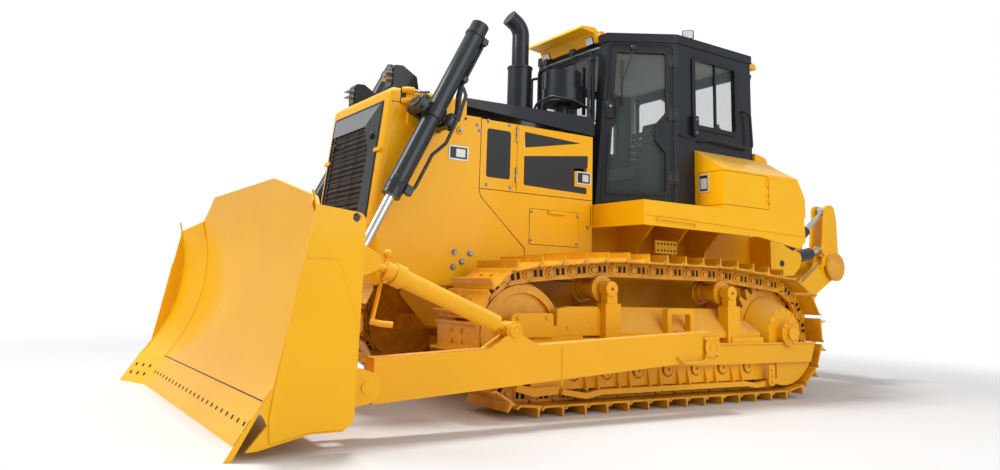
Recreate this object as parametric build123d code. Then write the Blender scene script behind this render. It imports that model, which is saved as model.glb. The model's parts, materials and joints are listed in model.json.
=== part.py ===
from build123d import *
import math
import os

# A crawler bulldozer with a semi-U blade, an enclosed six-sided cab and a single-shank ripper.
# Millimetres. +X is the machine's left side, -Y its front, +Z up, the ground is Z = 0, and the
# origin is under the middle of the whole machine. The engine inside is one plain block.

# --- undercarriage ---------------------------------------------------------------------------
gauge = 2000.0              # between the track centres
shoe_width = 580.0
shoe_thickness = 16.0
grouser_height = 68.0
grouser_thickness = 26.0
link_height = 116.0
link_thickness = 44.0
link_spread = 190.0         # between the middles of one chain's two link rows
track_pitch = 216.0
idler_y = -1325.0
wheelbase = 2930.0          # idler axle to sprocket axle
idler_radius = 370.0
sprocket_radius = 455.0     # pitch circle, through the chain's pins
sprocket_teeth = 13
carrier_radius = 100.0
carrier_insets = (780.0, 725.0)  # front one behind the idler, rear one before the sprocket
carrier_z = 945.0
roller_radius = 100.0
roller_count = 7
roller_insets = (430.0, 490.0)  # first one behind the idler, last one before the sprocket
grouser_share = 0.33        # where the grouser stands along the pitch, from the link's middle
chain_phase = 0.425         # how far round the loop the first pin has moved, in pitches
guard_x = 1195.0            # inner face of the outer roller guard
frame_outer_x = 1275.0      # outer face of the track frame's side rail
rail_height = 180.0         # of that side rail
rail_bottom_z = 330.0

# --- push arms, brace and blade --------------------------------------------------------------
arm_x = 1530.0              # middle plane of a push arm
arm_width = 120.0
trunnion_y = 210.0
trunnion_z = 510.0
trunnion_radius = 60.0
ball_y = -2801.0            # the pin between arm and blade
ball_z = 314.0
arm_front_y = -2742.0
arm_rear_y = 130.0
arm_front_height = 272.0
arm_rear_height = 255.0
brace_foot = (-1711.0, 640.0)   # Y, Z of the brace's pin on the arm
brace_head = (-2798.0, 1058.0)  # Y, Z of the brace's pin on the blade
brace_radius = 58.0
blade_half_width = 1835.0
blade_bend_x = 1460.0       # where the straight middle meets a wing
wing_sweep = 148.0          # how far a wing's end stands forward
blade_low = (-3363.0, 241.0)    # Y, Z on the mouldboard's front, bottom, middle and top
blade_mid = (-3087.0, 930.0)
blade_high = (-3217.0, 1610.0)
mould_thickness = 25.0
spill_half_width = 824.0
shoulder_z = 1355.0         # a wing's top, at its end and where it meets the middle
wing_root_z = 1445.0
edge_toe_y = -3511.0        # the cutting edge on the ground
edge_thickness = 30.0
end_plate_thickness = 22.0
end_plate_rear_y = -2954.0
blade_rear_y = -3030.0      # the flat behind the blade that its brackets stand on
lift_hole = (-3013.0, 1300.0)   # Y, Z of the end plate's lifting hole
lift_hole_radius = 27.0

# --- lift cylinders --------------------------------------------------------------------------
lift_x = 820.0
lift_top = (-1610.0, 3050.0)    # Y, Z of the barrel's upper end
lift_hang = 891.0           # from the barrel's upper end down to its trunnion
lift_eye = (-2862.0, 500.0)
lift_barrel_radius = 75.0
lift_rod_radius = 37.0
lift_bracket_x = 660.0      # outer face of the nose's bracket plate
lift_barrel_length = 1646.0
yoke_reach = 165.0          # from the barrel's axis to the outer face of each bearing block, nearly

# --- body ------------------------------------------------------------------------------------
nose_half_width = 600.0
nose_top_y = -2280.0
nose_brow_y = -2391.0       # the foremost point of the leaning front
nose_foot_y = -2314.0
nose_top_z = 2474.0
grille_half_width = 512.0
nose_brow_z = 1371.0
nose_bottom_z = 930.0
nose_corner = 55.0          # radius of its upright front corners
panel_kink = (-957.0, 1261.0)   # Y, Z where the sloping seam turns down
hood_seam_y = -1580.0       # yellow nose to dark hood
panel_seam_y = -1430.0      # nose to the side panels
hood_rear_y = -195.0
hood_rear_z = 2515.0
band_depth = 175.0          # the dark band on the hood's side
door_sill_z = 1735.0
engine_seam_y = -1057.5     # between the vent panel and the engine door, where its hinges are
sheet = 40.0                # a panel's thickness with its folded edges
floor_z = 1700.0
belly_half_width = 430.0
belly_top_z = 1000.0        # under the engine
fender_front_y = -210.0
fender_half_width = 1270.0
fender_rear_y = 1874.0

# --- cab -------------------------------------------------------------------------------------
cab_front = (500.0, -95.0)      # X, Y of the front corner at the sill
cab_pillar = (930.0, 550.0)     # X, Y of the door's hinge pillar
cab_rear = (900.0, 1650.0)
cab_wall = 60.0
cab_sill_z = 1700.0
cab_eaves_z = 3310.0
side_window_z = (2516.0, 3214.0)
cab_lean = 90.0                 # how far the front's top stands behind its foot
roof_thickness = 85.0
visor_half_width = 440.0
roof_eye_x = 560.0
roof_eye_y = (620.0, 1380.0)
roof_eye_z = 42.0                # above the roof
roof_eye_radius = 16.0
tank_front_y = 780.0
tank_rear_y = 1962.0
tank_seam_y = 1410.0            # where the box's side door ends and has its hinge
tank_hinges = (1840.0, 1990.0)

# --- ripper ----------------------------------------------------------------------------------
frame_tail = 545.0                  # from the sprocket's axle to the frame's rear plate
ripper_places = (                   # Y behind that plate, and Z
    (160.0, 700.0),                 # foot: the lower arm's front pin
    (1150.0, 1285.0),               # wrist: the journal between the lower arms and the carriage
    (1340.0, 1940.0),               # crown: the tilt cylinders' rear pin
    (480.0, 1338.0),                # the tilt cylinders' front pin
    (180.0, 1280.0),                # the lift cylinders' front pin
    (1000.0, 1462.0),               # the lift rods' rear pin, on the lower arm
)
shank_reach = 1291.0                # from the rear plate to the shank's front
ripper_tube_radius = 140.0
ripper_journal_radius = 80.0
ripper_cap_radius = 158.0
ripper_foot_radius = 45.0
ripper_lift_pin_radius = 32.0
shank_depth = 158.0
shank_width = 90.0
ripper_lift_x = 600.0
ripper_tilt_x = 420.0

# --- fits ------------------------------------------------------------------------------------
seat_gap = 0.3              # between pieces that are bolted or rest on each other
pin_gap = 0.05              # radial, between a pin and its bore
ball_gap = 0.4              # radial, between a ball and its socket
far_ball_gap = 4.2          # in the right arm's wide socket, where the tilting blade's ball slides
door_gap = 5.0              # round a door
ball_radius = 68.0          # at the blade's ball pins
brace_ball_radius = 42.0
hinge_radius = 10.0
hinge_knuckle = 50.0        # length of a door's knuckle
cab_hinge_share = 0.95      # of the diagonal side's width, where its door ends
cab_hinges = (1990.0, 2600.0, 3120.0)   # heights of the door's hinges
engine_hinges = (1840.0, 2220.0)

sprocket_y = idler_y + wheelbase
carrier_places = (idler_y + carrier_insets[0], sprocket_y - carrier_insets[1])
first_roller_y = idler_y + roller_insets[0]
roller_pitch = (wheelbase - roller_insets[0] - roller_insets[1]) / (roller_count - 1)
frame_rear_y = sprocket_y + frame_tail
ripper_foot, ripper_wrist, ripper_crown, ripper_tilt_foot, ripper_lift_foot, ripper_lift_eye = (
    (frame_rear_y + y, z) for y, z in ripper_places)
shank_front_y = frame_rear_y + shank_reach
rail_z = grouser_height + shoe_thickness + link_height      # top of the links on the ground
pin_z = rail_z - link_height / 2
sprocket_z = pin_z + sprocket_radius
half_link = link_height / 2
idler_pins = math.hypot(idler_radius + half_link + 0.3, track_pitch / 2)    # the pins' circle round the idler
idler_z = pin_z + idler_pins
track_x = gauge / 2
lift_reach = math.dist(lift_top, lift_eye)
lift_yoke_at = tuple(a + (b - a) * lift_hang / lift_reach for a, b in zip(lift_top, lift_eye))


def outline(points):
    """A face from corner points; a third number in a point rounds that corner."""
    face = make_face(Polyline(*[point[:2] for point in points], close=True))
    for point in points:
        if len(point) == 3:
            corner = face.vertices().sort_by_distance(Vector(point[0], point[1], 0))[0]
            face = fillet(corner, point[2])
    return face


def prism_x(points, x0, x1):
    """Corner points in (Y, Z), drawn out from x0 to x1."""
    return extrude(Plane.YZ.offset(x0) * outline(points), x1 - x0)


def prism_y(points, y0, y1):
    """Corner points in (X, Z), drawn out from y0 to y1."""
    plane = Plane(origin=(0, y1, 0), x_dir=(1, 0, 0), z_dir=(0, -1, 0))
    return extrude(plane * outline(points), y1 - y0)


def prism_z(points, z0, z1):
    """Corner points in (X, Y), drawn up from z0 to z1."""
    return extrude(Plane.XY.offset(z0) * outline(points), z1 - z0)


def block(x0, x1, y0, y1, z0, z1):
    return prism_z([(x0, y0), (x1, y0), (x1, y1), (x0, y1)], z0, z1)


def drum(y, z, radius, x0, x1):
    """A cylinder along X."""
    return extrude(Plane.YZ.offset(x0) * Pos(y, z) * Circle(radius), x1 - x0)


def bar(start, end, radius):
    """A round bar between two points."""
    start, end = Vector(*start), Vector(*end)
    return extrude(Plane(origin=start, z_dir=end - start) * Circle(radius), (end - start).length)


def ball_pin(y, z, radius, ball, x0, middle, x1):
    """A pin along X from x0 to x1 that swells into a ball at its middle."""
    reach = math.sqrt(ball ** 2 - radius ** 2)
    arc = ThreePointArc((middle - reach, radius), (middle, ball), (middle + reach, radius))
    rim = Polyline((middle + reach, radius), (x1, radius), (x1, 0), (x0, 0), (x0, radius), (middle - reach, radius))
    plane = Plane(origin=(0, y, z), x_dir=(1, 0, 0), z_dir=(0, 0, 1))
    return revolve(plane * make_face([arc, rim]), Axis((0, y, z), (1, 0, 0)), 360)


def both(shape):
    """The same piece on the left and mirrored to the right."""
    return [shape, mirror(shape, about=Plane.YZ)]


def along(start, end, distance):
    """The point at a distance from start on the way to end."""
    span = math.dist(start, end)
    return tuple(a + (b - a) * distance / span for a, b in zip(start, end))


def lug(pin, base, x0, x1, radius):
    """An ear: a round end at its pin, tangent down to two base points, all in (Y, Z)."""
    ear = prism_x([pin, base[0], base[1]], x0, x1)
    (py, pz), (ay, az), (by, bz) = pin, base[0], base[1]
    corners = []
    for (qy, qz), turn in ((base[0], 1), (base[1], -1)):
        span = math.dist(pin, (qy, qz))
        heading = math.atan2(qz - pz, qy - py) + turn * math.acos(radius / span)
        corners.append((py + radius * math.cos(heading), pz + radius * math.sin(heading)))
    cheeks = [prism_x([pin, base[i], corners[i]], x0, x1) for i in (0, 1)]
    return ear + cheeks[0] + cheeks[1] + drum(py, pz, radius, x0, x1)


def hinge_leaf(wall, place, low, high, way):
    """A knuckle and its leaf on a wall's outer plane (X along the wall, Y up); way is +1 or -1 along X."""
    near, far = door_gap / 2, 40.0
    middle = place + way * 0.5 * (near + far)
    leaf = extrude(wall.offset(-1) * Pos(middle, 0.5 * (low + high)) * Rectangle(far - near, high - low), 7)
    axis = wall.from_local_coords(Vector(place, 0, hinge_radius + seat_gap))
    return leaf + Pos(axis.X, axis.Y, 0.5 * (low + high)) * Cylinder(hinge_radius, high - low)


def door_knuckles(wall, place, heights, way):
    """The moving halves of a door's hinges."""
    half = hinge_knuckle / 2
    return [hinge_leaf(wall, place, z - half, z + half, way) for z in heights]


def post_knuckles(wall, place, heights, way):
    """The fixed halves, above and below each moving one."""
    near, far = hinge_knuckle / 2 + seat_gap, hinge_knuckle
    pieces = []
    for z in heights:
        pieces.append(hinge_leaf(wall, place, z + near, z + far, way))
        pieces.append(hinge_leaf(wall, place, z - far, z - near, way))
    return pieces


# --- tracks ----------------------------------------------------------------------------------
def chain_path():
    """The closed line through the chain's pins: ground run, sprocket, top run, idler."""
    top_z = carrier_z + carrier_radius + half_link
    front, rear = carrier_places
    idler_top = (idler_y - 60, idler_z + idler_pins * 0.988)
    sprocket_top = (sprocket_y + 150, sprocket_z + math.sqrt(sprocket_radius ** 2 - 150 ** 2))
    low = Line((idler_y, pin_z), (sprocket_y, pin_z))
    back = ThreePointArc(low @ 1, (sprocket_y + sprocket_radius, sprocket_z), sprocket_top)
    nose = ThreePointArc(idler_top, (idler_y - idler_pins, idler_z), low @ 0)
    top = [Line(back @ 1, (rear, top_z)), Line((rear, top_z), (front, top_z)), Line((front, top_z), nose @ 0)]
    return [low, back, *top, nose]


def chain_links():
    """Middle point and heading of each link, evenly spaced along the loop."""
    path = Wire(chain_path())
    count = round(path.length / track_pitch)
    pins = [path @ (((index + chain_phase) % count) / count) for index in range(count)]
    links = []
    for index in range(count):
        a, b = pins[index], pins[(index + 1) % count]
        links.append((0.5 * (a.X + b.X), 0.5 * (a.Y + b.Y), math.atan2(b.Y - a.Y, b.X - a.X), (b - a).length))
    return links


def ring(profile, inner, x0, x1):
    """A closed band drawn along X: an outer line of link profiles around an inner one."""
    outer_points, inner_points = [], []
    for middle_y, middle_z, heading, pitch in chain_links():
        cosine, sine = math.cos(heading), math.sin(heading)
        for target, points in ((outer_points, profile), (inner_points, inner)):
            for share, out in points:
                s = share * pitch
                target.append((middle_y + s * cosine + out * sine, middle_z + s * sine - out * cosine))
    outer_face = make_face(Polyline(*outer_points, close=True))
    inner_face = make_face(Polyline(*inner_points, close=True))
    band = outer_face - inner_face
    return extrude(Plane.YZ.offset(x0) * band, x1 - x0)


def track():
    """Shoes with single grousers, on two rows of links, as one loop."""
    foot = half_link + shoe_thickness
    tip = foot + grouser_height
    thick = grouser_thickness / track_pitch
    g = grouser_share
    # columns: share of the pitch from the link's middle, distance outward from the pins' line
    shoe = [(-0.47, half_link + 6), (-0.50, foot + 9), (-0.42, foot), (g - thick, foot), (g - thick / 3, tip),
            (g + thick / 3, tip), (g + thick, foot), (0.46, foot)]
    seat = [(-0.47, half_link - 4), (0.46, half_link - 4)]
    link = [(-0.44, half_link), (0.44, half_link)]
    rail = [(-0.40, -half_link), (0.40, -half_link)]
    x0, x1 = track_x - shoe_width / 2, track_x + shoe_width / 2
    loop = ring(shoe, seat, x0, x1)
    for side in (-1, 1):
        middle = track_x + side * link_spread / 2
        loop += ring(link, rail, middle - link_thickness / 2, middle + link_thickness / 2)
    return loop


# --- track frame and what it carries ---------------------------------------------------------
def rollers():
    """Track rollers under the frame and carrier rollers above it, on one side."""
    places = [(first_roller_y + index * roller_pitch, rail_z + roller_radius + 0.3, roller_radius)
              for index in range(roller_count)]
    places += [(y, carrier_z, carrier_radius - 7) for y in carrier_places]
    tread = link_spread / 2 + link_thickness / 2 + 3
    pieces = []
    for y, z, radius in places:
        wheel = drum(y, z, 80, track_x - tread, track_x + tread)
        for side in (-1, 1):
            middle = track_x + side * (tread - 28)
            wheel += drum(y, z, radius, middle - 28, middle + 28)
            flange = track_x + side * (tread + 9)
            wheel += drum(y, z, radius + 18, flange - 9, flange + 9)
        wheel += drum(y, z, 42, track_x - tread - 50, track_x + tread + 50)
        pieces.append(wheel)
    return pieces


def track_frame():
    """Box beam with sloping covers, side rail, roller brackets, carrier stands and trunnion boss."""
    axle_end = track_x + link_spread / 2 + link_thickness / 2 + 53
    x_in, x_out = track_x - 175, track_x + 175
    beam_top = 560.0
    front_y, rear_y = idler_y + 520, sprocket_y - 560
    axle_z = rail_z + roller_radius + 0.3
    floor = axle_z + roller_radius + 25
    beam = block(x_in, x_out, front_y, rear_y, floor, beam_top)
    cover = prism_y([(x_in, beam_top - 5), (x_out + 60, beam_top - 5), (x_out + 60, beam_top + 40),
                     (track_x + 60, 800), (track_x - 100, 800), (x_in, beam_top + 160)], front_y + 240, rear_y + 60)
    tail = prism_y([(x_out - 115, beam_top - 5), (x_out + 60, beam_top - 5), (x_out + 60, beam_top + 40),
                    (x_out - 115, 700)], rear_y + 50, sprocket_y - 335)
    frame = beam + cover + tail
    # the side rail outside the chain, which runs back past the sprocket to carry its bearing
    top = rail_bottom_z + rail_height
    rail = prism_x([(front_y - 60, rail_bottom_z), (sprocket_y + 345, rail_bottom_z), (sprocket_y + 420, top),
                    (front_y - 60, top)], x_out + 30, frame_outer_x)
    frame += rail + block(x_out - 10, x_out + 40, front_y, rear_y + 40, floor, top)
    frame += block(x_out + 30, frame_outer_x, rear_y - 200, sprocket_y - 340, top - 10, beam_top)
    # roller brackets: a side plate along the rollers on each side, with the axles let in
    last = first_roller_y + (roller_count - 1) * roller_pitch
    for side in (-1, 1):
        x0 = track_x + side * 178 - 15
        plate = prism_x([(first_roller_y - 170, floor + 20), (first_roller_y - 130, 215, 20),
                         (last + 130, 215, 20), (last + 170, floor + 20)], x0, x0 + 30)
        for index in range(roller_count):
            plate -= drum(first_roller_y + index * roller_pitch, axle_z, 42.3, x0 - 5, x0 + 35)
        frame += plate
    # carrier stands
    for y in carrier_places:
        stand = block(track_x + 150, track_x + 260, y - 70, y + 90, 500, 830)
        stand += block(axle_end + seat_gap, track_x + 245, y - 42, y + 62, 830, 900)
        stand += drum(y, carrier_z, 62, axle_end + seat_gap, track_x + 245)
        frame += stand
    # idler fork arms, one each side of the idler
    for side in (-1, 1):
        x0 = track_x + side * 178 - 20
        frame += block(x0, x0 + 40, idler_y - 90, front_y + 10, idler_z - 70, idler_z + 70)
        frame -= drum(idler_y, idler_z, 60.3, x0 - 5, x0 + 45)
    # trunnion boss for the push arm
    boss = drum(trunnion_y, trunnion_z, 110, x_out + 30, arm_x - arm_width / 2 - 55)
    boss += block(x_out, frame_outer_x, trunnion_y - 220, trunnion_y + 220, rail_bottom_z, 590)
    frame += boss
    frame -= drum(trunnion_y, trunnion_z, trunnion_radius + 0.05, x_out + 60, arm_x)
    # the arch over the trunnion
    arch = prism_x([(trunnion_y - 165, 580), (trunnion_y - 165, 800, 25), (trunnion_y + 155, 800, 25),
                    (trunnion_y + 155, 580), (trunnion_y + 105, 580), (trunnion_y + 105, 755, 15),
                    (trunnion_y - 115, 755, 15), (trunnion_y - 115, 580)], x_out + 45, frame_outer_x + 5)
    return frame + arch


def idler():
    """A wide rim with a centre flange, dished discs and a shaft."""
    gap = link_spread / 2 - link_thickness / 2 - 6
    wheel = drum(idler_y, idler_z, idler_radius - 1, track_x - 118, track_x + 118)
    wheel += drum(idler_y, idler_z, idler_radius + 20, track_x - gap, track_x + gap)
    for side in (-1, 1):
        face = track_x + side * 118
        dish = extrude(Plane.YZ.offset(face - side * 30) * Pos(idler_y, idler_z) * Circle(idler_radius - 60),
                       side * 40) - drum(idler_y, idler_z, 120, face - 50, face + 50)
        wheel -= dish
    return wheel + drum(idler_y, idler_z, 60, track_x - 190, track_x + 190)


def sprocket():
    """A toothed rim between the chain's link rows."""
    root = sprocket_radius - 62
    tip = sprocket_radius + 20
    half = 30.0
    blank = Pos(sprocket_y, sprocket_z) * Circle(root)
    step = 360.0 / (2 * sprocket_teeth)
    for index in range(2 * sprocket_teeth):
        tooth = outline([(root - 15, -38), (root - 15, 38), (tip, 14), (tip, -14)])
        blank += Pos(sprocket_y, sprocket_z) * Rot(0, 0, index * step) * tooth
    wheel = extrude(Plane.YZ.offset(track_x - half) * blank, 2 * half)
    return wheel - drum(sprocket_y, sprocket_z, 240, track_x - half - 5, track_x + half + 5)


def final_drive():
    """The reduction case inside the sprocket, its dome and the outer hub."""
    inner = drum(sprocket_y, sprocket_z, 300, 470, track_x - 60)
    neck = drum(sprocket_y, sprocket_z, 239.7, track_x - 70, track_x + 60)
    dome = extrude(Plane.YZ.offset(track_x + 40) * Pos(sprocket_y, sprocket_z) * Circle(330), 200, taper=28)
    hub = drum(sprocket_y, sprocket_z, 105, track_x + 200, frame_outer_x + 30)
    hub += drum(sprocket_y, sprocket_z, 60, frame_outer_x, frame_outer_x + 75)
    case = inner + neck + dome + hub
    return case - block(track_x + 100, frame_outer_x + 15, sprocket_y - 600, sprocket_y + 600, 0,
                        rail_bottom_z + rail_height + 0.3)


def roller_guard():
    """The outer guard: a plate with windows at the rollers, its bent rail and fins, and the plate under the sprocket."""
    x0, under = guard_x, rail_bottom_z - seat_gap
    first, last = first_roller_y, first_roller_y + (roller_count - 1) * roller_pitch
    guard = prism_x([(first - 400, 205), (first - 165, 182), (last + 395, 182), (last + 395, under),
                     (first - 60, under), (first - 400, 262)], x0, x0 + 16)
    for index in range(roller_count):
        guard -= drum(first + index * roller_pitch, rail_z + roller_radius, 64, x0 - 5, x0 + 20)
    guard += prism_x([(first - 148, 151), (first + 94, 110), (first + 255, 134), (last - 65, 134), (last + 69, 114),
                      (last + 366, 145), (last + 354, 191), (last + 69, 152), (last - 65, 174), (first + 255, 174),
                      (first + 94, 152), (first - 130, 190)], x0, x0 + 62)
    guard += prism_x([(first - 560, 190), (first - 391, 144), (first - 164, 154), (first - 158, 214),
                      (first - 391, 206), (first - 545, 240)], x0, x0 + 48)
    fins = [first + (index + share) * roller_pitch for index in range(roller_count - 1) for share in (0.32, 0.68)]
    for y in fins:
        guard += prism_y([(x0 + 10, under - 4), (x0 + 14, under - 4), (x0 + 58, 170), (x0 + 10, 170)], y - 6, y + 6)
    apron = drum(sprocket_y, sprocket_z, 478, x0 + 4, x0 + 34) & block(
        x0, x0 + 40, last + 385, sprocket_y + 380, 100, under)
    return guard + apron


# --- main frame and body ---------------------------------------------------------------------
def main_frame():
    """Belly box between the tracks, the rear axle case and the bar to both track frames."""
    rear = frame_rear_y
    belly = prism_x([(-1330, 560, 60), (rear - 100, 560, 60), (rear, 900), (rear, 1600), (-190, 1600),
                     (-190, belly_top_z),
                     (-1425, belly_top_z), (-1440, 929.7), (-1600, 929.7), (-1600, 840)], -belly_half_width,
                    belly_half_width)
    axle = drum(sprocket_y, sprocket_z, 260, -469.7, 469.7)
    rocker = block(-890, 890, -300, -160, 800.3, 900)
    return belly + axle + rocker


def nose_z(y):
    """The height of the nose's top, which rises to the hood."""
    return nose_top_z + 10 * (y - nose_top_y) / (hood_seam_y - nose_top_y)


def hood_z(y):
    """The height of the hood's top."""
    start = nose_top_z + 10
    return start + (hood_rear_z - start) * (y - hood_seam_y) / (hood_rear_y - hood_seam_y)


def engine_block():
    return block(-330, 330, -1400, -330, belly_top_z, 2180)


def radiator_guard():
    """The leaning nose with round front corners, the recess for the grille and the cheeks beside the engine."""
    w = nose_half_width
    profile = [(nose_top_y, nose_top_z, 60), (nose_brow_y, nose_brow_z), (nose_foot_y, nose_bottom_z),
               (-1531, nose_bottom_z), (panel_seam_y, 1035), (panel_seam_y, hood_rear_z - band_depth - 5),
               (hood_seam_y, hood_rear_z - band_depth - 5), (hood_seam_y, nose_top_z + 10)]
    guard = prism_x(profile, -w, w)
    corners = [edge for edge in guard.edges()
               if abs(abs(edge.center().X) - w) < 1 and edge.center().Y < nose_top_y + 5 and edge.length > 300]
    guard = fillet(corners, nose_corner)
    guard -= prism_x([(nose_top_y - 60, 2368), (nose_top_y + 70, 2368), (nose_foot_y + 60, 1180),
                      (nose_brow_y - 200, 1180)], -grille_half_width - seat_gap, grille_half_width + seat_gap)
    (seam_y, seam_z), rear = panel_kink, panel_seam_y - 5
    for side in (-1, 1):
        x0, x1 = sorted((side * (w - sheet), side * w))
        guard += prism_x([(rear, 1680), (panel_seam_y, 1680), (seam_y, seam_z), (seam_y, 1010), (-1010, 935, 25),
                          (-1535, 935), (rear, 1035)], x0, x1)
        x0, x1 = sorted((side * (w - 10), side * lift_bracket_x))
        y, z = lift_yoke_at
        guard += prism_x([(y + 130, z - 150, 40), (y + 130, z + 120, 40), (y - 130, z + 120, 40),
                          (y - 150, z - 90, 40)], x0, x1)
    return guard


def grille():
    """A frame with level slats and two upright bars, seated in the nose's recess."""
    lean = math.degrees(math.atan2(nose_top_y - nose_brow_y, nose_top_z - nose_brow_z))
    middle_z = 0.5 * (2365 + 1385)
    y = nose_top_y + (nose_top_y - nose_brow_y) * (middle_z - nose_top_z) / (nose_top_z - nose_brow_z)
    height = 965.0
    frame = Box(2 * grille_half_width, 50, height) - Box(2 * grille_half_width - 120, 60, height - 110)
    count = 15
    for index in range(count):
        z = (index - (count - 1) / 2) * (height - 110) / count
        frame += Pos(0, 0, z) * Box(910, 34, 16)
    for x in (-150, 150):
        frame += Pos(x, 8, 0) * Box(24, 30, height - 100)
    return Pos(0, y + 26, middle_z) * Rot(-lean, 0, 0) * frame


def hood_cover():
    """The dark engine hood: a shallow channel over the engine, from the nose to the cab."""
    w = nose_half_width
    profile = [(hood_seam_y + 0.3, nose_top_z + 10), (hood_rear_y, hood_rear_z),
               (hood_rear_y, hood_rear_z - band_depth), (hood_seam_y + 0.3, nose_top_z - 60)]
    outer = prism_x(profile, -w, w)
    inner = prism_x([(y, z - sheet) for y, z in profile], -w + sheet, w - sheet)
    return outer - inner


def side_panel():
    """The lower engine side: a panel with a sloping front edge, and the small bolted vent door."""
    w = nose_half_width
    front = panel_seam_y + seat_gap
    (seam_y, seam_z), slack = panel_kink, 4
    lower = prism_x([(front, door_sill_z - 3), (front, 1680 + slack), (seam_y + slack, seam_z + slack),
                     (seam_y + slack, 1010), (fender_front_y - 3, 1010), (fender_front_y - 3, door_sill_z - 3)],
                    w - sheet, w)
    vent = block(w - sheet, w, front, engine_seam_y - door_gap / 2, door_sill_z, hood_rear_z - band_depth - 12)
    vent -= block(w - sheet - 5, w + 5, -1365, -1130, 1842, 2251)
    panel = lower + vent + block(w - sheet, w, -1390, -1070, door_sill_z - 10, door_sill_z + 10)
    for piece in post_knuckles(side_wall(), engine_seam_y, engine_hinges, -1):
        panel += piece
    return panel


def side_wall():
    """The plane of the engine's left side, X to the rear and Y up."""
    return Plane(origin=(nose_half_width, 0, 0), x_dir=(0, 1, 0), z_dir=(1, 0, 0))


def engine_door():
    """The large side door, hinged at its front edge."""
    w = nose_half_width
    top = hood_rear_z - band_depth - 12
    door = block(w - sheet, w, engine_seam_y + door_gap / 2, fender_front_y - 3, door_sill_z, top)
    door -= prism_x([(-979, 2276), (-355, 2252), (-979, 2136)], w - sheet - 5, w + 5)
    door -= prism_x([(-981, 2062), (-280, 2025), (-280, 1990), (-420, 1990), (-420, 1850), (-280, 1840),
                     (-280, 1800), (-981, 1815)], w - sheet - 5, w + 5)
    for piece in door_knuckles(side_wall(), engine_seam_y, engine_hinges, 1):
        door += piece
    return door


def headlight(x):
    """One hooded lamp box on the nose."""
    box = prism_x([(-2201, nose_z(-2201)), (-2201, 2690, 20), (-2120, 2696), (-1990, 2620), (-1960, nose_z(-1960))],
                  x - 72, x + 72)
    return box - block(x - 50, x + 50, -2210, -2180, 2520, 2660)


def exhaust_pipe():
    """The stack: a shielded lower part and a pipe whose end turns forward."""
    x, y, r = -60.0, -600.0, 84.0
    foot, top, turn = hood_z(y + 119) + seat_gap, 3395.0, 150.0
    shield = extrude(Plane.XY.offset(foot) * Pos(x, y) * Circle(119), 560)
    pipe = extrude(Plane.XY.offset(foot) * Pos(x, y) * Circle(r), top - foot)
    elbow = revolve(Plane.XY.offset(top) * Pos(x, y) * Circle(r), Axis((x, y - turn, top), (1, 0, 0)), 60)
    end = Vector(0, -math.sin(math.radians(60)), math.cos(math.radians(60)))
    tip = Vector(x, y - turn + turn * math.cos(math.radians(60)), top + turn * math.sin(math.radians(60)))
    spout = extrude(Plane(origin=tip, z_dir=end) * Circle(r), 80)
    return shield + pipe + elbow + spout


def precleaner():
    """The round intake head on its stalk."""
    x, y, r = 200.0, -262.0, 195.0
    foot = hood_z(y + 70) + seat_gap
    stalk = extrude(Plane.XY.offset(foot) * Pos(x, y) * Circle(70), 2750 - foot)
    bowl = extrude(Plane.XY.offset(2693) * Pos(x, y) * Circle(r), 150)
    lid = extrude(Plane.XY.offset(2835) * Pos(x, y) * Circle(r - 14), 181)
    return stalk + bowl + lid


# --- cab -------------------------------------------------------------------------------------
def cab_corners(z):
    """The six corners of the cab's plan at a height: the front leans back along the door's side."""
    (fx, fy), (px, py), (rx, ry) = cab_front, cab_pillar, cab_rear
    lean = cab_lean * (z - cab_sill_z) / (cab_eaves_z - cab_sill_z)
    share = lean / (py - fy)
    fx, fy = fx + share * (px - fx), fy + lean
    return [(fx, fy), (px, py), (rx, ry), (-rx, ry), (-px, py), (-fx, fy)]


def cab_body(low, high, inset):
    """The six-sided block between two heights, set in from the outside by a distance."""
    faces = []
    for z in (low, high):
        face = outline(cab_corners(z))
        faces.append(Pos(0, 0, z) * (offset(face, -inset, kind=Kind.INTERSECTION) if inset else face))
    return loft(faces, ruled=True)


def door_plane():
    """A plane on the left diagonal side, its X along the side from the front corner, Y up."""
    (fx, fy), (px, py) = cab_front, cab_pillar
    heading = Vector(px - fx, py - fy, 0).normalized()
    return Plane(origin=(fx, fy, 0), x_dir=heading, z_dir=Vector(heading.Y, -heading.X, 0))


def on_door(points, near, far):
    """A solid over the diagonal side; points are (share of the side's width, Z, corner radius)."""
    length = math.dist(cab_front, cab_pillar)
    slope = cab_lean / (cab_pillar[1] - cab_front[1]) * length / (cab_eaves_z - cab_sill_z)
    placed = []
    for share, z, radius in points:
        start = slope * (z - cab_sill_z)
        placed.append((start * (1 - share / cab_hinge_share) + share * length, z, radius))
    return extrude(door_plane().offset(near) * outline(placed), far - near)


def door_leaf(gap, near, far):
    low, high = cab_sill_z + 35 + gap, cab_eaves_z - 25 - gap
    share = gap / 700
    return on_door([(0.05 + share, low, 20), (0.95 - share, low, 20), (0.95 - share, high, 50),
                    (0.05 + share, high, 50)], near, far)


def door_window(gap, near, far):
    """The tall window, which narrows round the lock in front and the wiper's motor behind."""
    g = gap / 700
    low, high = 1835 + gap, 3215 - gap
    return on_door([(0.12 + g, low, 55), (0.12 + g, 2455, 40), (0.20 + g, 2550, 45), (0.20 + g, 2700, 45),
                    (0.12 + g, 2790, 40), (0.12 + g, high, 60), (0.87 - g, high, 60), (0.87 - g, 2610, 40),
                    (0.74 - g, 2500, 50), (0.74 - g, 2340, 50), (0.87 - g, 2230, 40), (0.87 - g, low, 55)], near, far)


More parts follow.
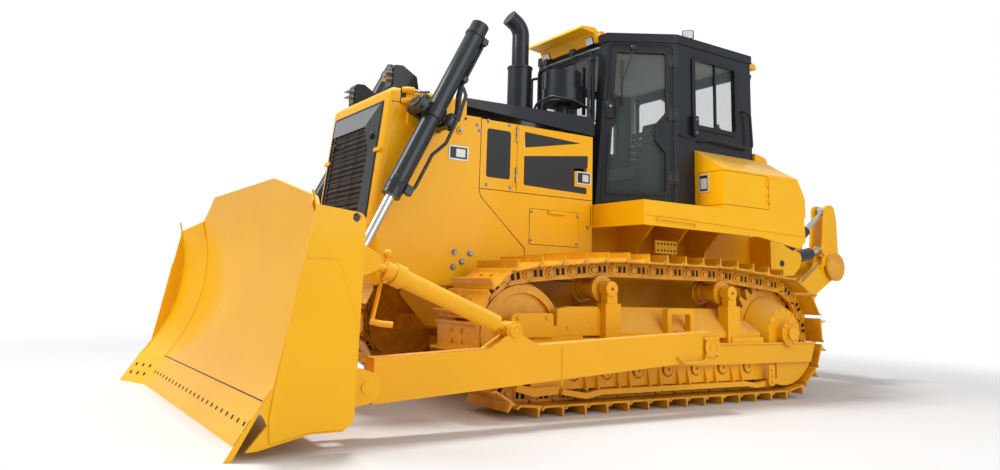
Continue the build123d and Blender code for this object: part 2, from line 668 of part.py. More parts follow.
def cab_shell():
    """Walls with the openings for windscreen, doors, side and rear windows."""
    shell = cab_body(cab_sill_z, cab_eaves_z, 0) - cab_body(cab_sill_z + 40, cab_eaves_z, cab_wall)
    w = cab_front[0] - 60
    shell -= block(-w, w, cab_front[1] - 50, cab_front[1] + 250, 2500, cab_eaves_z - 90)
    shell -= block(-1200, 1200, cab_pillar[1] + 220, cab_rear[1] - 240, side_window_z[0], side_window_z[1])
    w = cab_rear[0] - 130
    shell -= block(-w, w, cab_rear[1] - 150, cab_rear[1] + 50, 2330, cab_eaves_z - 120)
    for opening in both(door_leaf(0, -150, 50)):
        shell -= opening
    for piece in post_knuckles(door_plane(), cab_hinge_place(), cab_hinges, 1):
        for knuckle in both(piece):
            shell += knuckle
    return shell


def cab_hinge_place():
    """Where the door's hinges stand along the diagonal side: in the gap behind the leaf."""
    return cab_hinge_share * math.dist(cab_front, cab_pillar) - door_gap / 2


def cab_door():
    """The door leaf in the diagonal side, with its tall window."""
    door = door_leaf(door_gap, -cab_wall + 8, 0) - door_window(0, -150, 50)
    for piece in door_knuckles(door_plane(), cab_hinge_place(), cab_hinges, -1):
        door += piece
    return door


def door_glass():
    return door_window(0.3, -34, -26)


def cab_glass():
    """The fixed panes: windscreen, side and rear windows, each in the middle of its wall."""
    front_y, rear_y = cab_front[1], cab_rear[1]
    w = cab_front[0] - 60.3
    slope = cab_lean / (cab_eaves_z - cab_sill_z)
    low, high = 2500.3, cab_eaves_z - 90.3
    y0, y1 = front_y + slope * (low - cab_sill_z) + 26, front_y + slope * (high - cab_sill_z) + 26
    panes = [prism_x([(y0, low), (y0 + 8, low), (y1 + 8, high), (y1, high)], -w, w)]
    w = cab_rear[0] - 130.3
    panes.append(block(-w, w, rear_y - 34, rear_y - 26, 2330.3, cab_eaves_z - 120.3))
    (px, py), (rx, ry) = cab_pillar, cab_rear
    heading = Vector(rx - px, ry - py, 0).normalized()
    wall = Plane(origin=(px, py, 0), x_dir=heading, z_dir=Vector(heading.Y, -heading.X, 0))
    slab = extrude(wall.offset(-34) * Pos(500, 2500) * Rectangle(1400, 2000), 8)
    pane = slab & block(0, 1200, py + 220.3, ry - 240.3, side_window_z[0] + 0.3, side_window_z[1] - 0.3)
    return panes + both(pane)


def cab_roof():
    """The roof slab with its stepped middle and four lifting eyes."""
    corners = cab_corners(cab_eaves_z)
    plan = offset(outline(corners), 12, kind=Kind.INTERSECTION)
    roof = extrude(Plane.XY.offset(cab_eaves_z + 0.3) * plan, roof_thickness)
    top = cab_eaves_z + roof_thickness
    raised = offset(outline(corners), -110, kind=Kind.INTERSECTION)
    roof += extrude(Plane.XY.offset(top - 5) * raised, 25)
    for x in (-roof_eye_x, roof_eye_x):
        for y in roof_eye_y:
            eye = prism_x([(y - 38, top - 5), (y + 38, top - 5), (y + 22, top + roof_eye_z + 24, 20),
                           (y - 22, top + roof_eye_z + 24, 20)], x - 8, x + 8)
            roof += eye - drum(y, top + roof_eye_z, roof_eye_radius, x - 10, x + 10)
    return roof


def roof_visors():
    """The yellow lamp visors before and behind the roof."""
    top = cab_eaves_z + roof_thickness
    front_y = cab_front[1] + cab_lean - 12 - seat_gap
    front = prism_x([(front_y, cab_eaves_z + 15), (front_y, top + 40), (front_y - 50, top + 75, 20),
                     (front_y - 215, top + 62), (front_y - 222, top + 38), (front_y - 60, top + 20),
                     (front_y - 25, cab_eaves_z + 15)], -visor_half_width, visor_half_width)
    rear_y = cab_rear[1] + 12 + seat_gap
    rear = prism_x([(rear_y, top - 70), (rear_y, top + 8), (rear_y + 30, top + 14, 10), (rear_y + 165, top - 52),
                    (rear_y + 160, top - 76), (rear_y + 40, top - 30), (rear_y + 20, top - 70)], -640, 640)
    return [front, rear]


def cab_interior():
    """The seat and the two consoles beside it, on the cab's floor."""
    floor = cab_sill_z + 40
    seat = prism_x([(620, floor + 330), (640, floor + 450), (1130, floor + 430), (1230, floor + 1050, 40),
                    (1330, floor + 1030, 40), (1240, floor + 300), (1150, floor + 0.3), (800, floor + 0.3),
                    (780, floor + 300)], -250, 250)
    console = block(330, 560, 650, 1300, floor + 0.3, floor + 620)
    dash = block(-200, 200, 60, 180, floor + 0.3, floor + 750)
    return [seat, console, mirror(console, about=Plane.YZ), dash]


def fender():
    """The tray over the track: floor, front face, stepped outer skirt with its rising tail, and ribs."""
    w = fender_half_width
    rear = fender_rear_y
    inner_x = nose_half_width + 0.3
    upper = prism_x([(fender_front_y, floor_z), (fender_front_y, 1575), (rear + 74, 1518), (rear + 60, floor_z)],
                    w - 25, w)
    lower = prism_x([(fender_front_y, 1600), (fender_front_y, 1490), (1286, 1475), (rear, 1396), (rear + 88, 1470),
                     (rear + 88, 1600)], w - 37, w - 12)
    root = belly_half_width + seat_gap
    top = block(root, w, fender_front_y, rear + 60, floor_z - 40, floor_z)
    face = block(inner_x, w, fender_front_y, fender_front_y + 25, 1490, floor_z)
    tray = upper + lower + top + face
    for y in (250.0, 700.0, 1150.0):
        tray += prism_x([(y, 1100), (y, floor_z - 20), (y + 40, floor_z - 20), (y + 40, 1100)], root, 560)
        rib = prism_y([(root, 1150), (root, floor_z - 20), (w - 20, floor_z - 20), (w - 20, 1560), (900, 1540, 120),
                       (690, 1330, 60), (690, 1150)], y, y + 30)
        tray += rib
    return tray


def side_box(y0, y1):
    """The body of a tank beside the cab's rear, with a sloping top and a chamfered tail."""
    w = fender_half_width
    body = prism_y([(925, floor_z), (925, 2285), (w, 2079), (w, floor_z)], y0, y1)
    tail = prism_x([(1798, 2400), (1798, 2170), (1962, 1896), (1962, floor_z), (2400, floor_z), (2400, 2400)], 0, 1500)
    return body - tail


def tank_wall():
    """The plane of the left box's side, X to the rear and Y up."""
    return Plane(origin=(fender_half_width, 0, 0), x_dir=(0, 1, 0), z_dir=(1, 0, 0))


def tank_leaf(gap):
    """The space of a box's door: its side before the seam, round the corner and over its front face."""
    w, low, high = fender_half_width, floor_z + 40 + gap, 2060 - gap
    side = block(w - 30, w + 5, tank_front_y - 5, tank_seam_y - gap, low, high)
    return side + block(970 + gap, w + 5, tank_front_y - 5, tank_front_y + 30, low, high)


def side_tank():
    tank = side_box(tank_front_y + 0.3, tank_rear_y) - tank_leaf(0) - block(
        fender_half_width - 35, fender_half_width + 5, tank_front_y, tank_seam_y, floor_z + 40, 2060)
    tank -= block(965, fender_half_width, tank_front_y - 5, tank_front_y + 36, floor_z + 40, 2060)
    for piece in post_knuckles(tank_wall(), tank_seam_y - door_gap / 2, tank_hinges, 1):
        tank += piece
    return tank


def tank_door():
    """The box's door: a sheet folded round the front corner, with its latch on the front."""
    w = fender_half_width
    door = tank_leaf(door_gap) & block(900, w, tank_front_y + 0.3, tank_seam_y, floor_z, 2100)
    for piece in door_knuckles(tank_wall(), tank_seam_y - door_gap / 2, tank_hinges, -1):
        door += piece
    return door


def rear_tank():
    """The fuel tank across the back of the cab."""
    front = cab_rear[1] + 10
    return prism_x([(front, floor_z), (front, 2360), (1830, 2330, 60), (2010, 1900), (2010, floor_z)], -924, 924)


# --- blade gear ------------------------------------------------------------------------------
def trunnion_shaft():
    """The trunnion's shaft and cap, through the push arm's socket."""
    x0 = track_x + 175 + 60 + 0.3
    return drum(trunnion_y, trunnion_z, trunnion_radius, x0, arm_x + arm_width / 2 + 12)


def push_arm(gap):
    """A box arm: socket at the trunnion, tongue at the blade's pin, ears for the brace."""
    x0, x1 = arm_x - arm_width / 2, arm_x + arm_width / 2
    body = prism_x([(arm_front_y, ball_z - 106), (arm_front_y, ball_z - 106 + arm_front_height),
                    (arm_rear_y, trunnion_z + 117), (arm_rear_y - 20, trunnion_z - 110)], x0, x1)
    body += drum(trunnion_y, trunnion_z, 125, x0 + 8, x1 - 8)
    body += block(x0 + 8, x1 - 8, arm_rear_y - 30, trunnion_y, trunnion_z - 105, trunnion_z + 110)
    body -= drum(trunnion_y, trunnion_z, trunnion_radius + 0.1, x0 - 10, x1 + 10)
    tongue = prism_x([(ball_y, ball_z - 80), (arm_front_y + 20, ball_z - 80), (arm_front_y + 20, ball_z + 80),
                      (ball_y, ball_z + 80)], arm_x - 45, arm_x + 45)
    body += tongue + drum(ball_y, ball_z, 98, arm_x - 45, arm_x + 45)
    body -= drum(ball_y, ball_z, ball_radius + gap, arm_x - 50, arm_x + 50)
    base = ((brace_foot[0] - 210, 515), (brace_foot[0] + 230, 535))
    for side in (-1, 1):
        middle = arm_x + side * 47
        body += lug(brace_foot, base, middle - 12, middle + 12, 62)
    return body + ball_pin(*brace_foot, 26, brace_ball_radius, arm_x - 68, arm_x, arm_x + 68)


def strut(x, start, end, radius, eye_radius, eye_half):
    """A round strut with an eye at each end, in a plane of constant X."""
    body = bar((x, *along(start, end, 125)), (x, *along(end, start, 125)), radius)
    body += bar((x, *along(start, end, 45)), (x, *along(end, start, 30)), 27)
    for y, z in (start, end):
        body += drum(y, z, eye_radius, x - eye_half, x + eye_half)
    return body - drum(*start, brace_ball_radius + ball_gap, x - eye_half - 5, x + eye_half + 5)


def brace():
    """The fixed brace with its screw collar."""
    body = strut(arm_x, brace_foot, brace_head, brace_radius, 60, 27)
    near = along(brace_head, brace_foot, 190)
    far = along(brace_head, brace_foot, 260)
    return body + bar((arm_x, *near), (arm_x, *far), brace_radius + 16)


def tilt_barrel():
    """The tilt cylinder's barrel, at the right-hand arm."""
    end = along(brace_foot, brace_head, 760)
    body = bar((-arm_x, *along(brace_foot, brace_head, 135)), (-arm_x, *end), 75)
    body += bar((-arm_x, *along(brace_foot, brace_head, 45)), (-arm_x, *along(brace_foot, brace_head, 150)), 27)
    body += drum(*brace_foot, 60, -arm_x - 27, -arm_x + 27)
    body -= drum(*brace_foot, brace_ball_radius + ball_gap, -arm_x - 35, -arm_x + 35)
    return body - bar((-arm_x, *along(brace_foot, brace_head, 300)), (-arm_x, *along(brace_foot, brace_head, 800)), 38)


def tilt_rod():
    body = bar((-arm_x, *along(brace_foot, brace_head, 420)), (-arm_x, *brace_head), 37.95)
    return body + drum(*brace_head, 55, -arm_x - 30, -arm_x + 30)


def lift_barrel():
    """Long barrel with its trunnion band, hung in the yoke."""
    bottom = along(lift_top, lift_eye, lift_barrel_length)
    body = bar((lift_x, *lift_top), (lift_x, *bottom), lift_barrel_radius)
    band = along(lift_top, lift_eye, lift_hang - 50)
    band_end = along(lift_top, lift_eye, lift_hang + 50)
    body += bar((lift_x, *band), (lift_x, *band_end), lift_barrel_radius + 13)
    body += bar((lift_x, *beside_barrel(-yoke_reach, 0)), (lift_x, *beside_barrel(yoke_reach, 0)), 34.95)
    start = along(lift_top, lift_eye, 200)
    return body - bar((lift_x, *start), (lift_x, *along(lift_top, lift_eye, lift_barrel_length + 50)),
                      lift_rod_radius + 0.05)


def lift_rod():
    body = bar((lift_x, *along(lift_top, lift_eye, lift_barrel_length - 450)), (lift_x, *lift_eye), lift_rod_radius)
    return body + drum(*lift_eye, 62, lift_x - 40, lift_x + 40)


def beside_barrel(across, down):
    """Y, Z of a point by steps from the yoke's middle: square to the barrel towards its rear side, and down it."""
    dy, dz = ((b - a) / lift_reach for a, b in zip(lift_top, lift_eye))
    return lift_yoke_at[0] - across * dz + down * dy, lift_yoke_at[1] + across * dy + down * dz


def lift_yoke():
    """The yoke that turns on the nose's bracket: a hub, its plate, and a bearing block before and behind the barrel."""
    near, far = lift_x - lift_barrel_radius - 33, lift_x + 72
    yoke = drum(*lift_yoke_at, 62, lift_bracket_x + seat_gap, near)
    yoke += prism_x([beside_barrel(*corner) for corner in ((-yoke_reach, -58), (yoke_reach, -58), (yoke_reach, 58),
                                                           (-yoke_reach, 58))], near - 38, near)
    for side in (-1, 1):
        a, b, slope = side * (yoke_reach - 62), side * (yoke_reach + 8), side * (yoke_reach - 18)
        yoke += prism_x([beside_barrel(*corner) for corner in ((a, -62), (slope, -62), (b, -36), (b, 36), (slope, 62),
                                                               (a, 62))], near - 38, far)
    return yoke - bar((lift_x, *beside_barrel(-300, 0)), (lift_x, *beside_barrel(300, 0)), 35)


def mould_profile(thickness):
    """The curved plate's section in (Y, Z): two arcs about one centre."""
    front = ThreePointArc(blade_low, blade_mid, blade_high)
    back = ThreePointArc(*[(y + thickness, z) for y, z in (blade_low, blade_mid, blade_high)])
    return make_face([front, Line(front @ 1, back @ 1), back, Line(back @ 0, front @ 0)])


def in_front_of_board():
    """The section of the space before the mouldboard, between its bottom and top."""
    front = ThreePointArc(blade_low, blade_mid, blade_high)
    low, high = front @ 0, front @ 1
    corner = Polyline((high.X, high.Y), (blade_low[0] - 400, high.Y), (blade_low[0] - 400, low.Y), (low.X, low.Y))
    return make_face([front, corner])


def across(face):
    """A blade section drawn over the straight middle and out along both forward wings."""
    middle = extrude(Plane.YZ.offset(-blade_bend_x) * face, 2 * blade_bend_x)
    wing_dir = Vector(blade_half_width - blade_bend_x, -wing_sweep, 0)
    wing = extrude(Plane.YZ.offset(blade_bend_x) * face, wing_dir.length, dir=wing_dir.normalized())
    return middle + wing + mirror(wing, about=Plane.YZ)


def stepped(base, steps):
    """Corner points stated as steps from a base point."""
    return [(base[0] + step[0], base[1] + step[1], *step[2:]) for step in steps]


def blade():
    """Mouldboard with spill guard, end plates, rear beams, ribs and the pads its brackets stand on."""
    board = across(mould_profile(mould_thickness))
    w, rear = blade_half_width, blade_rear_y
    (low_y, low_z), (high_y, high_z) = blade_low, blade_high
    keep = prism_y([(-w, 100), (w, 100), (w, shoulder_z), (blade_bend_x, wing_root_z), (spill_half_width, 1612),
                    (-spill_half_width, 1612), (-blade_bend_x, wing_root_z), (-w, shoulder_z)], -3700, -2700)
    board = board & keep
    lower = stepped(blade_low, [(23, 0), (78, 259)]) + [(rear, low_z + 259, 40), (rear, low_z - 71, 40)]
    upper = [(high_y + 117, high_z - 480), (rear, high_z - 460, 20), (rear, high_z - 290, 30),
             (high_y + 107, high_z - 275)]
    board += across(outline(lower + stepped(blade_low, [(63, -71)])))
    board += across(outline(upper))
    rib = stepped(blade_low, [(73, 239), (303, 239)]) + [(rear - 20, blade_mid[1]), (rear - 20, high_z - 450),
                                                         (high_y + 122, high_z - 450)]
    for share in (-2, -1, 0, 1, 2):
        x = share * 0.445 * blade_bend_x
        board += prism_x(rib, x - 12, x + 12)
    for side in (-1, 1):
        # pads behind the board for the arm's and brace's ears, and for those of the lift cylinder
        for middle, half, low, high in ((arm_x, 100, low_z - 60, shoulder_z - 35), (lift_x, 100, low_z, low_z + 370)):
            x0, x1 = sorted((side * (middle - half), side * (middle + half)))
            board += block(x0, x1, -3300, rear, low, high)
    board -= across(in_front_of_board())
    # the end plates, whose straight front edges stand before the curve
    plate = [(low_y + 105, shoulder_z + 3), (end_plate_rear_y, shoulder_z - 29, 60), (end_plate_rear_y - 2, low_z - 72),
             (low_y + 345, low_z - 129), (low_y + 153, low_z - 131), (edge_toe_y + 28, 45), (edge_toe_y - 38, 41),
             (low_y - 31, low_z - 7), (low_y - 63, low_z + 9), (low_y - 80, low_z + 33)]
    for side in (-1, 1):
        x0, x1 = sorted((side * w, side * (w - end_plate_thickness)))
        board += prism_x(plate, x0, x1) - drum(*lift_hole, lift_hole_radius, x0 - 5, x1 + 5)
    return board


def blade_brackets():
    """The ears behind the blade and the ball pins of the push arms, each a piece of its own."""
    pieces = []
    back = blade_rear_y + seat_gap
    # columns: pin's Y and Z, base's low and high Z, middle X, offset of each ear, ear's half thickness, radius
    for pin, low, high, middle, spread, half, radius in (
            ((ball_y, ball_z), ball_z - 140, ball_z + 160, arm_x, 85, 15, 95),
            (brace_head, 900, 1250, arm_x, 60, 13, 62),
            (lift_eye, 330, 600, lift_x, 78, 14, 75)):
        for x in (middle - spread, middle + spread):
            pieces.append(lug(pin, ((back, low), (back, high)), x - half, x + half, radius))
    pieces[0] -= drum(ball_y, ball_z, 34 + pin_gap, 0, blade_half_width)
    pieces[1] -= drum(ball_y, ball_z, 34 + pin_gap, 0, blade_half_width)
    pieces.append(ball_pin(ball_y, ball_z, 34, ball_radius, arm_x - 108, arm_x, arm_x + 108))
    return [solid for piece in pieces for solid in both(piece)]


def cutting_edge():
    """The edge bolted along the bottom: the middle plate and a thicker end bit along each wing."""
    top_y, top_z = blade_low[0] - 1, blade_low[1] - seat_gap

    def section(thickness):
        return outline([(top_y, top_z), (edge_toe_y, 0), (edge_toe_y + thickness, 0), (top_y + 22, top_z)])

    half = blade_bend_x - seat_gap
    middle = extrude(Plane.YZ.offset(-half) * section(edge_thickness), 2 * half)
    reach = Vector(blade_half_width - blade_bend_x, -wing_sweep, 0)
    bit = extrude(Plane.YZ.offset(blade_bend_x) * section(edge_thickness + 12), reach.length,
                  dir=reach.normalized())
    return [middle, *both(bit)]


# --- ripper ----------------------------------------------------------------------------------
def ripper_mount():
    """The bracket on the rear of the frame: a back plate and four upright ear plates."""
    front = frame_rear_y + seat_gap
    plate = block(-700, 700, front, front + 50, 560, 1560)
    for side in (-1, 1):
        for x in (ripper_tilt_x - 85, 0.5 * (ripper_tilt_x + ripper_lift_x) - 2, ripper_lift_x + 85):
            ear = prism_x([(front + 40, 560), (ripper_foot[0], 610, 60), (ripper_foot[0] + 90, 700, 60),
                           (ripper_foot[0] + 20, 1000), (ripper_tilt_foot[0], 1250, 60),
                           (ripper_tilt_foot[0] + 60, 1400, 60), (front + 350, 1430), (front + 40, 1540)],
                          side * x - 14, side * x + 14)
            plate += ear
    for foot, radius in ((ripper_foot, ripper_foot_radius), (ripper_lift_foot, ripper_lift_pin_radius)):
        plate -= drum(*foot, radius + pin_gap, -750, 750)
    return plate


def ripper_arm():
    """Two lower arms joined by a cross plate."""
    pieces = None
    for side in (-1, 1):
        x = side * ripper_lift_x
        wrist_y, wrist_z = ripper_wrist
        arm = prism_x([(ripper_foot[0] - 50, 640, 40), (ripper_foot[0] + 40, 620, 40), (wrist_y - 10, wrist_z - 145),
                       (wrist_y - 120, wrist_z + 85), (ripper_foot[0] - 30, 780, 60)], x - 40, x + 40)
        arm += drum(*ripper_wrist, 150, x - 40, x + 40)
        for ear in (x - 50, x + 50):
            arm += lug(ripper_lift_eye, ((wrist_y - 240, wrist_z - 35), (wrist_y - 60, wrist_z + 65)), ear - 12,
                       ear + 12, 50)
        arm += drum(*ripper_foot, ripper_foot_radius, x - 125, x + 108)
        arm -= drum(*ripper_wrist, ripper_journal_radius + 0.05, x - 80, x + 80)
        pieces = arm if pieces is None else pieces + arm
    web = prism_x(stepped(ripper_foot, [(340, 155), (640, 355), (625, 385), (325, 185)]), -ripper_lift_x,
                  ripper_lift_x)
    return pieces + web


def ripper_pins():
    """The two journals between the lower arms and the carriage, with their round end caps."""
    x = ripper_lift_x
    pin = drum(*ripper_wrist, ripper_journal_radius, x - 69.7, x + 70)
    return both(pin + drum(*ripper_wrist, ripper_cap_radius, x + 63, x + 90))


def ripper_carriage():
    """Cross tube, two pairs of tall cheek plates and the shank's pocket."""
    half = ripper_lift_x - 70
    body = drum(*ripper_wrist, ripper_tube_radius, -half, half)
    cheek = stepped(ripper_wrist, [(-60, 115), (30, 195, 120), (100, 615), (100, 725, 60), (260, 725, 60), (300, 565),
                                   (310, 15), (180, -135), (0, -105)])
    for side in (-1, 1):
        for x in (ripper_tilt_x - 82, ripper_tilt_x + 82):
            body += prism_x(cheek, side * x - 15, side * x + 15)
    front, rear = shank_front_y - seat_gap, shank_front_y + shank_depth + seat_gap
    body += block(-130, 130, front - 60, rear + 40, 980, 1500)
    body += block(-ripper_tilt_x, ripper_tilt_x, front - 41, rear + 1, 1180, 1400)
    return body - block(-shank_width / 2 - seat_gap, shank_width / 2 + seat_gap, front, rear, 900, 1600)


def ripper_shank():
    """The shank in its pocket, curving forward to the tooth."""
    front, rear = shank_front_y, shank_front_y + shank_depth
    return prism_x([(front, 1640), (front, 700), (front - 110, 480), (front - 260, 330), (front - 290, 270),
                    (front - 110, 300), (rear - 80, 480), (rear, 700), (rear, 1640)], -shank_width / 2,
                   shank_width / 2)


def ripper_lift_barrel():
    x = ripper_lift_x
    end = along(ripper_lift_foot, ripper_lift_eye, 640)
    body = bar((x, *along(ripper_lift_foot, ripper_lift_eye, 40)), (x, *end), 65)
    body += drum(*ripper_lift_foot, 55, x - 35, x + 35)
    body += drum(*ripper_lift_foot, ripper_lift_pin_radius, x - 125, x + 108)
    return body - bar((x, *along(ripper_lift_foot, ripper_lift_eye, 120)),
                      (x, *along(ripper_lift_foot, ripper_lift_eye, 700)), 32)


def ripper_lift_rod():
    x = ripper_lift_x
    body = bar((x, *along(ripper_lift_foot, ripper_lift_eye, 200)), (x, *ripper_lift_eye), 31.95)
    return body + drum(*ripper_lift_eye, 42, x - 32, x + 32)


def ripper_tilt_pin():
    return both(drum(*ripper_tilt_foot, 35, ripper_tilt_x - 70.7, ripper_tilt_x + 73.7))


def ripper_tilt_barrel():
    x = ripper_tilt_x
    end = along(ripper_tilt_foot, ripper_crown, 620)
    body = bar((x, *ripper_tilt_foot), (x, *end), 62)
    body += drum(*ripper_tilt_foot, 55, x - 35, x + 35)
    body -= drum(*ripper_tilt_foot, 35.05, x - 80, x + 80)
    return body - bar((x, *along(ripper_tilt_foot, ripper_crown, 150)),
                      (x, *along(ripper_tilt_foot, ripper_crown, 700)), 30)


def ripper_tilt_rod():
    x = ripper_tilt_x
    body = bar((x, *along(ripper_tilt_foot, ripper_crown, 330)), (x, *ripper_crown), 29.95)
    return body + drum(*ripper_crown, 55, x - 40, x + 40)


left = {
    "engine_door": engine_door(),
    "cab_door": cab_door(),
    "tank_door": tank_door(),
    "door_glass": door_glass(),
    "lift_barrel": lift_barrel(),
    "lift_yoke": lift_yoke(),
    "lift_rod": lift_rod(),
    "track": track(),
}

nodes = {
    "main_frame": [main_frame()],
    "engine_block": [engine_block()],
    "radiator_guard": [radiator_guard()],
    "grille": [grille()],
    "hood_cover": [hood_cover()],
    "side_panels": both(side_panel()),
    "lamps": [headlight(-393), headlight(393)],
    "exhaust_pipe": [exhaust_pipe()],
    "precleaner": [precleaner()],
    "cab_shell": [cab_shell()],
    "cab_roof": [cab_roof()],
    "roof_visors": roof_visors(),
    "cab_glass": cab_glass(),
    "cab_interior": cab_interior(),
    "fenders": both(fender()),
    "side_tanks": both(side_tank()),
    "rear_tank": [rear_tank()],
    "track_frames": both(track_frame()),
    "rollers": [piece for roller in rollers() for piece in both(roller)],
    "idlers": both(idler()),
    "sprockets": both(sprocket()),
    "final_drives": both(final_drive()),
    "roller_guards": both(roller_guard()),
    "trunnion_shafts": both(trunnion_shaft()),
    "push_arm_left": [push_arm(ball_gap)],
    "push_arm_right": [mirror(push_arm(far_ball_gap), about=Plane.YZ)],
    "brace": [brace()],
    "tilt_barrel": [tilt_barrel()],
    "tilt_rod": [tilt_rod()],
    "blade": [blade()],
    "blade_brackets": blade_brackets(),
    "cutting_edge": cutting_edge(),
    "ripper_mount": [ripper_mount()],
    "ripper_arm": [ripper_arm()],
    "ripper_pins": ripper_pins(),
    "ripper_carriage": [ripper_carriage()],
    "ripper_shank": [ripper_shank()],
    "ripper_lift_barrels": both(ripper_lift_barrel()),
    "ripper_lift_rods": both(ripper_lift_rod()),
    "ripper_tilt_pins": ripper_tilt_pin(),
    "ripper_tilt_barrels": both(ripper_tilt_barrel()),
    "ripper_tilt_rods": both(ripper_tilt_rod()),
}
for name, shape in left.items():
    nodes[name + "_left"] = [shape]
    nodes[name + "_right"] = [mirror(shape, about=Plane.YZ)]

os.makedirs("parts", exist_ok=True)
for name, solids in nodes.items():
    export_step(Compound(children=solids), f"parts/{name}.step")
print(len(nodes), "nodes written")
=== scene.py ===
import bpy
import bmesh
import json
import math
import numpy as np
from mathutils import Matrix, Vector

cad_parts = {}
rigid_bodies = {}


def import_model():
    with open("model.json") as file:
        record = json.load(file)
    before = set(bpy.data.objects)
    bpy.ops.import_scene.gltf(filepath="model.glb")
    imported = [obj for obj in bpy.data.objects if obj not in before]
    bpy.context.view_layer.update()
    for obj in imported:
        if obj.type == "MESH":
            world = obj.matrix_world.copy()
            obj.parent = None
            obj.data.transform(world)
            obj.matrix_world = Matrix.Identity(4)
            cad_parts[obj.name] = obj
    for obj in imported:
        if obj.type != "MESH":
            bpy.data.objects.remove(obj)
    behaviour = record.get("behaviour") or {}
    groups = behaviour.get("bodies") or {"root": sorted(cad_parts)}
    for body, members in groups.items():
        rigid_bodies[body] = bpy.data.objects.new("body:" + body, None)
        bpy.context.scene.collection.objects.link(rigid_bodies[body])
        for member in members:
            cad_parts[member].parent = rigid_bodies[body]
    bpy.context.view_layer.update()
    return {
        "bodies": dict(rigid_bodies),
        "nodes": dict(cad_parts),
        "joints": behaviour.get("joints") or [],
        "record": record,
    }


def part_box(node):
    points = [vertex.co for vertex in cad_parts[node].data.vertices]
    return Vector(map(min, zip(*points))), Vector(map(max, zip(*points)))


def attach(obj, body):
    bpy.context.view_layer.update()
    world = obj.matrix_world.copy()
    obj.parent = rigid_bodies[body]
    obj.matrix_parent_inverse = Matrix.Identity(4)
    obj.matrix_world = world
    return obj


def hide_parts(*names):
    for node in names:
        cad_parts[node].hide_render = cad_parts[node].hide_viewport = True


outward, upward = (1, 0, 0), (0, 0, 1)  # outward is away from the machine on its left side

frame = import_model()
print("frame loaded,", len(frame["nodes"]), "nodes")


# Every shape is a pair: points as an n by 3 array in metres, and faces as lists of indices.
# A shape is a grid of points p(u, v), or a profile carried along a path, worked out in one go.

def gridFaces(rows, columns, closed):
    # quads between neighbours of a grid whose rows are rings; closed joins the last ring to the first
    i = np.arange(rows if closed else rows - 1)[:, None]
    j = np.arange(columns)[None, :]
    down, right = (i + 1) % rows, (j + 1) % columns
    quads = np.stack([i * columns + j, i * columns + right, down * columns + right, down * columns + j], -1)
    return quads.reshape(-1, 4).tolist()


def loft(sections, closed=False):
    # rings of equal count joined in order; a face closes each end, unless the loft is a loop
    sections = np.asarray(sections, float)
    rows, columns = sections.shape[:2]
    faces = gridFaces(rows, columns, closed)
    if not closed:
        faces += [list(range(columns))[::-1], list(range((rows - 1) * columns, rows * columns))]
    return sections.reshape(-1, 3), faces


def onAxis(outline, axis, at):
    # a flat outline (a, b) set across an axis: x keeps (y, z), y keeps (x, z), z keeps (x, y)
    outline = np.asarray(outline, float)
    level = np.full(len(outline), at)
    a, b = outline[:, 0], outline[:, 1]
    return np.stack({"x": (level, a, b), "y": (a, level, b), "z": (a, b, level)}[axis], -1)


def plate(outline, axis, low, high, round=0.0):
    # the outline carried from low to high; with round, both rims are drawn in by that much over that height
    outline = np.asarray(outline, float)
    if not round:
        return loft([onAxis(outline, axis, low), onAxis(outline, axis, high)])
    drawn = inset(outline, round)
    way = math.copysign(round, high - low)
    return loft([onAxis(drawn, axis, low), onAxis(outline, axis, low + way),
                 onAxis(outline, axis, high - way), onAxis(drawn, axis, high)])


def inset(outline, distance):
    # each corner moves along the sum of its edges' inward normals, by distance over the half angle's cosine
    outline = np.asarray(outline, float)
    before, after = np.roll(outline, 1, 0), np.roll(outline, -1, 0)
    area = np.sum(outline[:, 0] * after[:, 1] - after[:, 0] * outline[:, 1])
    sign = 1 if area > 0 else -1
    e0, e1 = outline - before, after - outline
    n0 = np.stack([-e0[:, 1], e0[:, 0]], -1) / np.linalg.norm(e0, axis=1)[:, None] * sign
    n1 = np.stack([-e1[:, 1], e1[:, 0]], -1) / np.linalg.norm(e1, axis=1)[:, None] * sign
    push = (n0 + n1) / (1 + np.sum(n0 * n1, 1))[:, None]
    return outline + push * distance


def rounded(corners, steps=4):
    # corners (a, b, radius): each rounded corner is an arc tangent to both edges, in equal turns
    corners = [tuple(c) + (0.0,) * (3 - len(c)) for c in corners]
    line = []
    for index, (a, b, radius) in enumerate(corners):
        here = np.array([a, b])
        if not radius:
            line.append(here)
            continue
        to0 = np.array(corners[index - 1][:2]) - here
        to1 = np.array(corners[(index + 1) % len(corners)][:2]) - here
        to0, to1 = to0 / np.linalg.norm(to0), to1 / np.linalg.norm(to1)
        half = 0.5 * math.acos(max(-1, min(1, float(to0 @ to1))))
        middle = here + (to0 + to1) / np.linalg.norm(to0 + to1) * radius / math.sin(half)
        start, end = (here + way * radius / math.tan(half) - middle for way in (to0, to1))
        a0 = math.atan2(start[1], start[0])
        turn = (math.atan2(end[1], end[0]) - a0 + math.pi) % (2 * math.pi) - math.pi
        angles = a0 + turn * np.linspace(0, 1, steps + 1)
        line += list(middle + radius * np.stack([np.cos(angles), np.sin(angles)], -1))
    return np.array(line)


def oblong(a0, a1, b0, b1, radius, steps=4):
    corners = [(a0, b0, radius), (a1, b0, radius), (a1, b1, radius), (a0, b1, radius)]
    return rounded(corners, steps)


def brick(x, y, z, round):
    # a block whose twelve edges are broken: its plan is inset at top and bottom
    return plate(oblong(x[0], x[1], y[0], y[1], round * 1.2, 1), "z", z[0], z[1], round)


def ring(radius, sides):
    angles = np.linspace(0, 2 * math.pi, sides, endpoint=False)
    return np.stack([np.cos(angles), np.sin(angles)], -1) * radius


